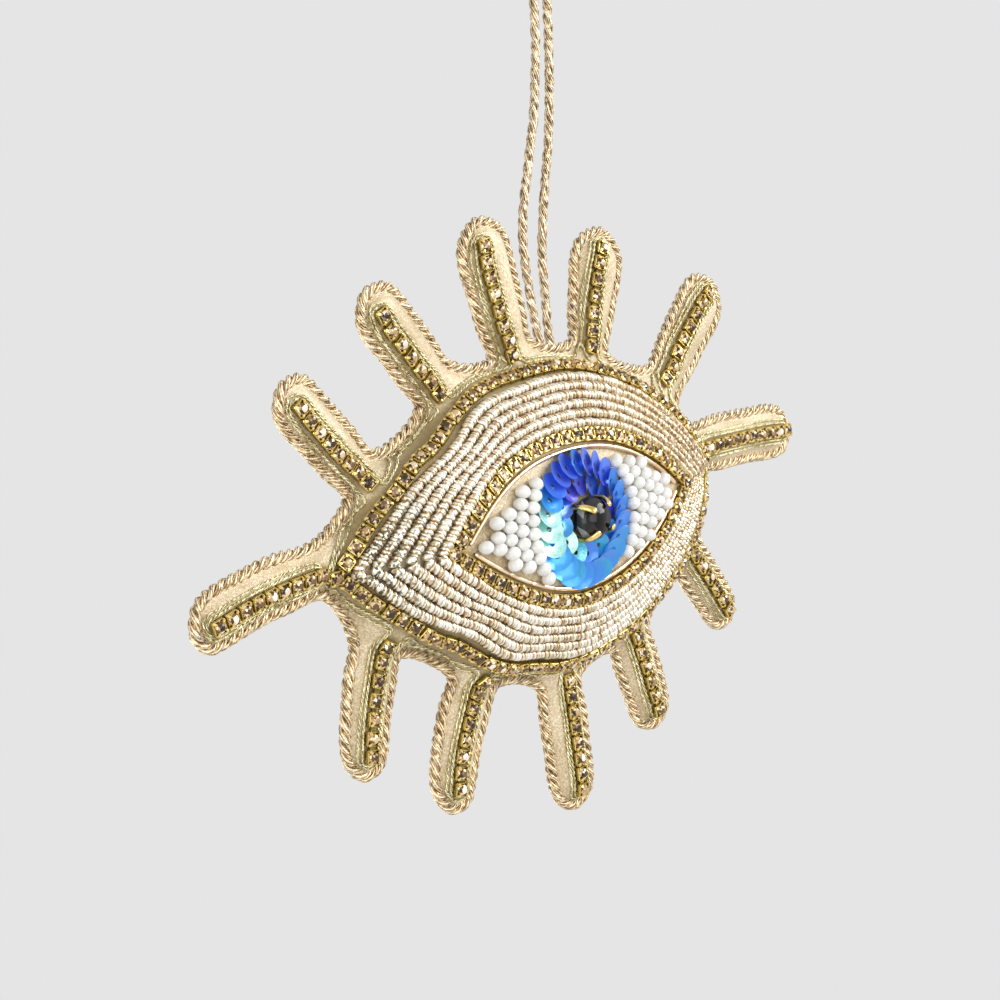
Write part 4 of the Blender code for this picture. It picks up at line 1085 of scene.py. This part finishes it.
BALL_VERTS, BALL_FACES = ball(18, 13)
margin = trim_margin + TRIM_WIRE / 2 + BEAD / 2 - 0.1
eye_path = np.vstack([sides["eye", True], sides["eye", False][-2:0:-1]])
bead_pitch = BEAD_LENGTH + 0.15
for name, direction in (("left", -1), ("right", 1)):
    flat, ways = [], []
    for column in range(8):
        radius = IRIS_RADIUS + 0.1 + BEAD / 2 + column * BEAD_COLUMN_PITCH
        step = bead_pitch / radius
        turn = (np.arange(-12, 13) + 0.5 * (column % 2)) * step
        turn = turn[np.abs(turn) < 1.35]
        out = np.column_stack([direction * np.cos(turn), np.sin(turn)])
        arc = out * radius + (IRIS_SHIFT, 0.0)
        kept = signed_distance(eye_point(arc), eye_path)[0] > margin
        flat.append(arc[kept])
        ways.append(np.column_stack([-direction * np.sin(turn), np.cos(turn)])[kept])
    flat, ways = np.vstack(flat), np.vstack(ways)
    flat = eye_point(flat) + chance.normal(0, 0.07, (len(flat), 2))
    ways = turned_flat(ways, EYE_TURN)
    origins, normals = ground.above(flat, BEAD / 2 + 0.15)
    axes = axes_on(level(np.column_stack([ways, np.zeros(len(ways))]), normals), normals)
    axes *= BEAD_FULLNESS[None, :, None]
    axes *= chance.normal(1.0, 0.025, (len(axes), 1, 1))
    beads = add_piece(f"seed_beads_{name}", placed(instanced(BALL_VERTS, origins, axes)),
                      repeated(BALL_FACES, len(BALL_VERTS), len(origins)), white_glass)
    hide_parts(f"beads_{name}")


# Sequins
def sequin(size):
    """Cupped disc with a hole and six soft facets in its wall."""
    around, thickness, depth = 36, 0.05, 0.08
    turn = np.linspace(0, 2 * math.pi, around, endpoint=False)
    facet = np.abs(np.cos(turn * 3))
    tops = []
    for share, height in ((0.2, 0.0), (0.42, 0.0), (0.74, 0.055), (1.0, 0.16)):
        lift = height + 0.02 * facet * (share > 0.5)
        tops.append(np.column_stack([share * np.cos(turn), share * np.sin(turn), lift]))
    profile = tops + [ring - (0, 0, thickness) for ring in tops[::-1]]
    verts = np.vstack(profile) * size / 2 - (0, 0, depth * size / 2)
    return verts, grid_faces(len(profile), around, closed=True, wraps=True)[:, ::-1]


iris_centre = eye_point((IRIS_SHIFT, 0.0))
inner_radius = IRIS_RADIUS - OUTER_SEQUIN + 1.1 - INNER_SEQUIN / 2
for name, size, radius, count, skin, tilt, glint in (
        ("outer", OUTER_SEQUIN, IRIS_RADIUS - OUTER_SEQUIN / 2, OUTER_COUNT, outer_film, OUTER_TILT,
         OUTER_GLINT),
        ("inner", INNER_SEQUIN, inner_radius, INNER_COUNT, inner_film, INNER_TILT, INNER_GLINT)):
    shape, quads = sequin(size)
    turn = 2 * math.pi * np.arange(count) / count
    out = turned_flat(np.column_stack([np.cos(turn), np.sin(turn)]), EYE_TURN)
    origins, normals = ground.above(iris_centre + out * radius, size / 2 * tilt[1] + SEQUIN_LIFT)
    x = level(np.column_stack([out, np.zeros(count)]), normals)
    y = np.cross(normals, x)
    slope = tilt[0] + chance.normal(0, 0.07, (count, 1))
    lean = tilt[1] + chance.normal(0, 0.05, (count, 1))
    faced = unit(normals + x * slope - y * lean)
    axes = axes_on(unit(np.cross(y, faced)), faced)
    # Painted reflection: discs darker blue at the top, lighter at the bottom and mint round the
    # glint
    blue = 0.34 - 0.2 * np.sin(turn) + chance.normal(0, 0.09, count)
    tone = blue + (1 - blue) * np.exp(-((turn - glint) / GLINT_SPREAD) ** 4)
    discs = add_piece(f"sequins_{name}", placed(instanced(shape, origins, axes)),
                      repeated(quads, len(shape), count), skin,
                      tone=np.repeat(tone, len(quads)), smooth=50)
    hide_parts(f"iris_sequins_{name}")

# Pupil stone, cut all over, and its four rounded claws
seat, normal = ground.above(iris_centre[None], 0.0)
pupil_axes = axes_on(level(np.array(((1.0, 0.0, 0.0),)), normal), normal)
verts = [spot for radius, height, shift in PUPIL_RINGS
         for spot in circle(radius, height, PUPIL_SIDES, shift + 0.2)]
triangles = []
for ring, (_, _, shift) in enumerate(PUPIL_RINGS[:-1]):
    a, b = ring * PUPIL_SIDES, (ring + 1) * PUPIL_SIDES
    for k in range(PUPIL_SIDES):
        n = (k + 1) % PUPIL_SIDES
        if shift:
            triangles += [(a + k, a + n, b + n), (a + k, b + n, b + k)]
        else:
            triangles += [(a + k, a + n, b + k), (a + n, b + n, b + k)]
top = PUPIL_SIDES * (len(PUPIL_RINGS) - 1)
triangles += [(top, top + k, top + k + 1) for k in range(1, PUPIL_SIDES - 1)]
triangles += [(0, k + 1, k) for k in range(1, PUPIL_SIDES - 1)]
# Some facets painted grey at random, as painted reflections
tone = np.zeros(len(triangles))
tone[:8 * PUPIL_SIDES] = np.repeat(chance.beta(0.6, 0.8, 4 * PUPIL_SIDES), 2)
stone = add_piece("pupil_crystal", placed(instanced(np.array(verts), seat, pupil_axes)),
                  np.array(triangles), black_glass, tone=tone, smooth=0)
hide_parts("pupil_stone")
verts = []
profile = smooth_points(CLAW_PATH, 4, False)
around = np.linspace(0, 2 * math.pi, CLAW_SIDES, endpoint=False)
for claw in range(4):
    turn = math.pi / 4 + math.pi / 2 * claw + CLAW_TURN
    out = np.array((math.cos(turn), math.sin(turn), 0.0))
    path = profile[:, :1] * out + profile[:, 1:] * (0.0, 0.0, 1.0)
    along = unit(np.gradient(path, axis=0))
    across = np.array((-out[1], out[0], 0.0))
    facing = np.cross(across, along)
    start = 1 - CLAW_ROUNDING
    run = np.linspace(0, 1, len(path))
    round_off = ((run - start) / CLAW_ROUNDING) ** 2 * (run > start)
    girth = np.sqrt(np.clip(1 - round_off, 0.02, 1))[:, None, None]
    ring = path[:, None] + girth * (across * (np.cos(around) * CLAW[0])[:, None]
                                    + facing[:, None] * (np.sin(around) * CLAW[1])[:, None])
    verts.append(ring.reshape(-1, 3))
quads = repeated(grid_faces(len(profile), CLAW_SIDES, wraps=True), len(verts[0]), 4)
claws = add_piece("pupil_claws", placed(instanced(np.vstack(verts), seat, pupil_axes)), quads,
                  prong_gold)
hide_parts("pupil_setting")


# Stage, lights and the camera with the photograph's view
def stage_plane(name, size, place, grey, seen_grey, glow):
    """A pale disc that throws light as one grey, and is seen as another with a glow added."""
    bpy.ops.mesh.primitive_circle_add(vertices=64, radius=size, fill_type="NGON", location=place)
    obj = bpy.context.object
    obj.name = name
    skin = Skin(name, 0.0, 0.9)
    skin.sockets["Emission Color"].default_value = (1.0, 1.0, 1.0, 1.0)
    seen = skin.seen()
    skin.colour(skin.scaled(seen, seen_grey - grey, grey))
    skin.put(skin.sockets["Emission Strength"], skin.maths("MULTIPLY", seen, glow))
    obj.data.materials.append(skin.material)


stage_plane("floor", 1.2, (0.0, 0.0, -0.5), 0.62, 0.2, 0.66)


MIDDLE = Vector((-0.0015, 0.0, -0.106))
# Each lamp: place, width and height, watts and colour. All of them face the middle
LAMPS = {
    "key": ((0.50, -0.42, 0.26), (0.40, 0.40), 4.0, (1.0, 1.0, 1.0)),
    "front_fill": ((-0.10, -0.75, -0.02), (0.6, 0.5), 2.0, (1.0, 1.0, 1.0)),
    "glint": ((0.28, -0.70, 0.28), (0.22, 0.22), 1.4, (1.0, 1.0, 1.0)),
    "left_fill": ((-0.70, -0.25, -0.15), (0.4, 0.6), 2.2, (1.0, 0.98, 0.95)),
    "back_low": ((-0.1, 0.60, -0.42), (0.8, 0.3), 3.0, (1.0, 1.0, 1.0)),
}
for name, (place, size, watts, colour) in LAMPS.items():
    data = bpy.data.lights.new(name, "AREA")
    data.shape = "RECTANGLE"
    data.size, data.size_y = size
    data.energy = watts
    data.color = colour
    lamp = bpy.data.objects.new(name, data)
    lamp.location = place
    lamp.rotation_euler = (MIDDLE - Vector(place)).to_track_quat("-Z", "Y").to_euler()
    bpy.context.collection.objects.link(lamp)

scene = bpy.context.scene
world = bpy.data.worlds.new("room")
world.use_nodes = True
scene.world = world
room = Nodes(world.node_tree)
shown = world.node_tree.nodes["Background"]
shown.inputs["Color"].default_value = (0.783, 0.783, 0.783, 1.0)
rise = room.axis(room.add("ShaderNodeTexCoord").outputs["Generated"], "Z")
height = room.add("ShaderNodeMapRange", Value=rise, From_Min=-1.0).outputs[0]
sky = room.ramp(height, (0.0, (0.72, 0.70, 0.67)), (1.0, (0.36, 0.365, 0.38)))
lit = room.add("ShaderNodeBackground", Color=sky)
chooser = room.add("ShaderNodeMixShader", Fac=room.seen())
room.put(chooser.inputs[1], lit.outputs[0])
room.put(chooser.inputs[2], shown.outputs[0])
room.put(world.node_tree.nodes["World Output"].inputs["Surface"], chooser.outputs[0])

camera_data = bpy.data.cameras.new("camera")
camera_data.lens = 94.34
camera_data.sensor_width = 36.0
camera_data.clip_start = 0.01
camera = bpy.data.objects.new("camera", camera_data)
view = Vector((0.7482, 0.6634, 0.0)).normalized()
camera.matrix_world = (Matrix.Translation((-0.3020, -0.2596, -0.1031))
                       @ view.to_track_quat("-Z", "Y").to_matrix().to_4x4())
bpy.context.collection.objects.link(camera)
scene.camera = camera
scene.view_settings.view_transform = "Standard"
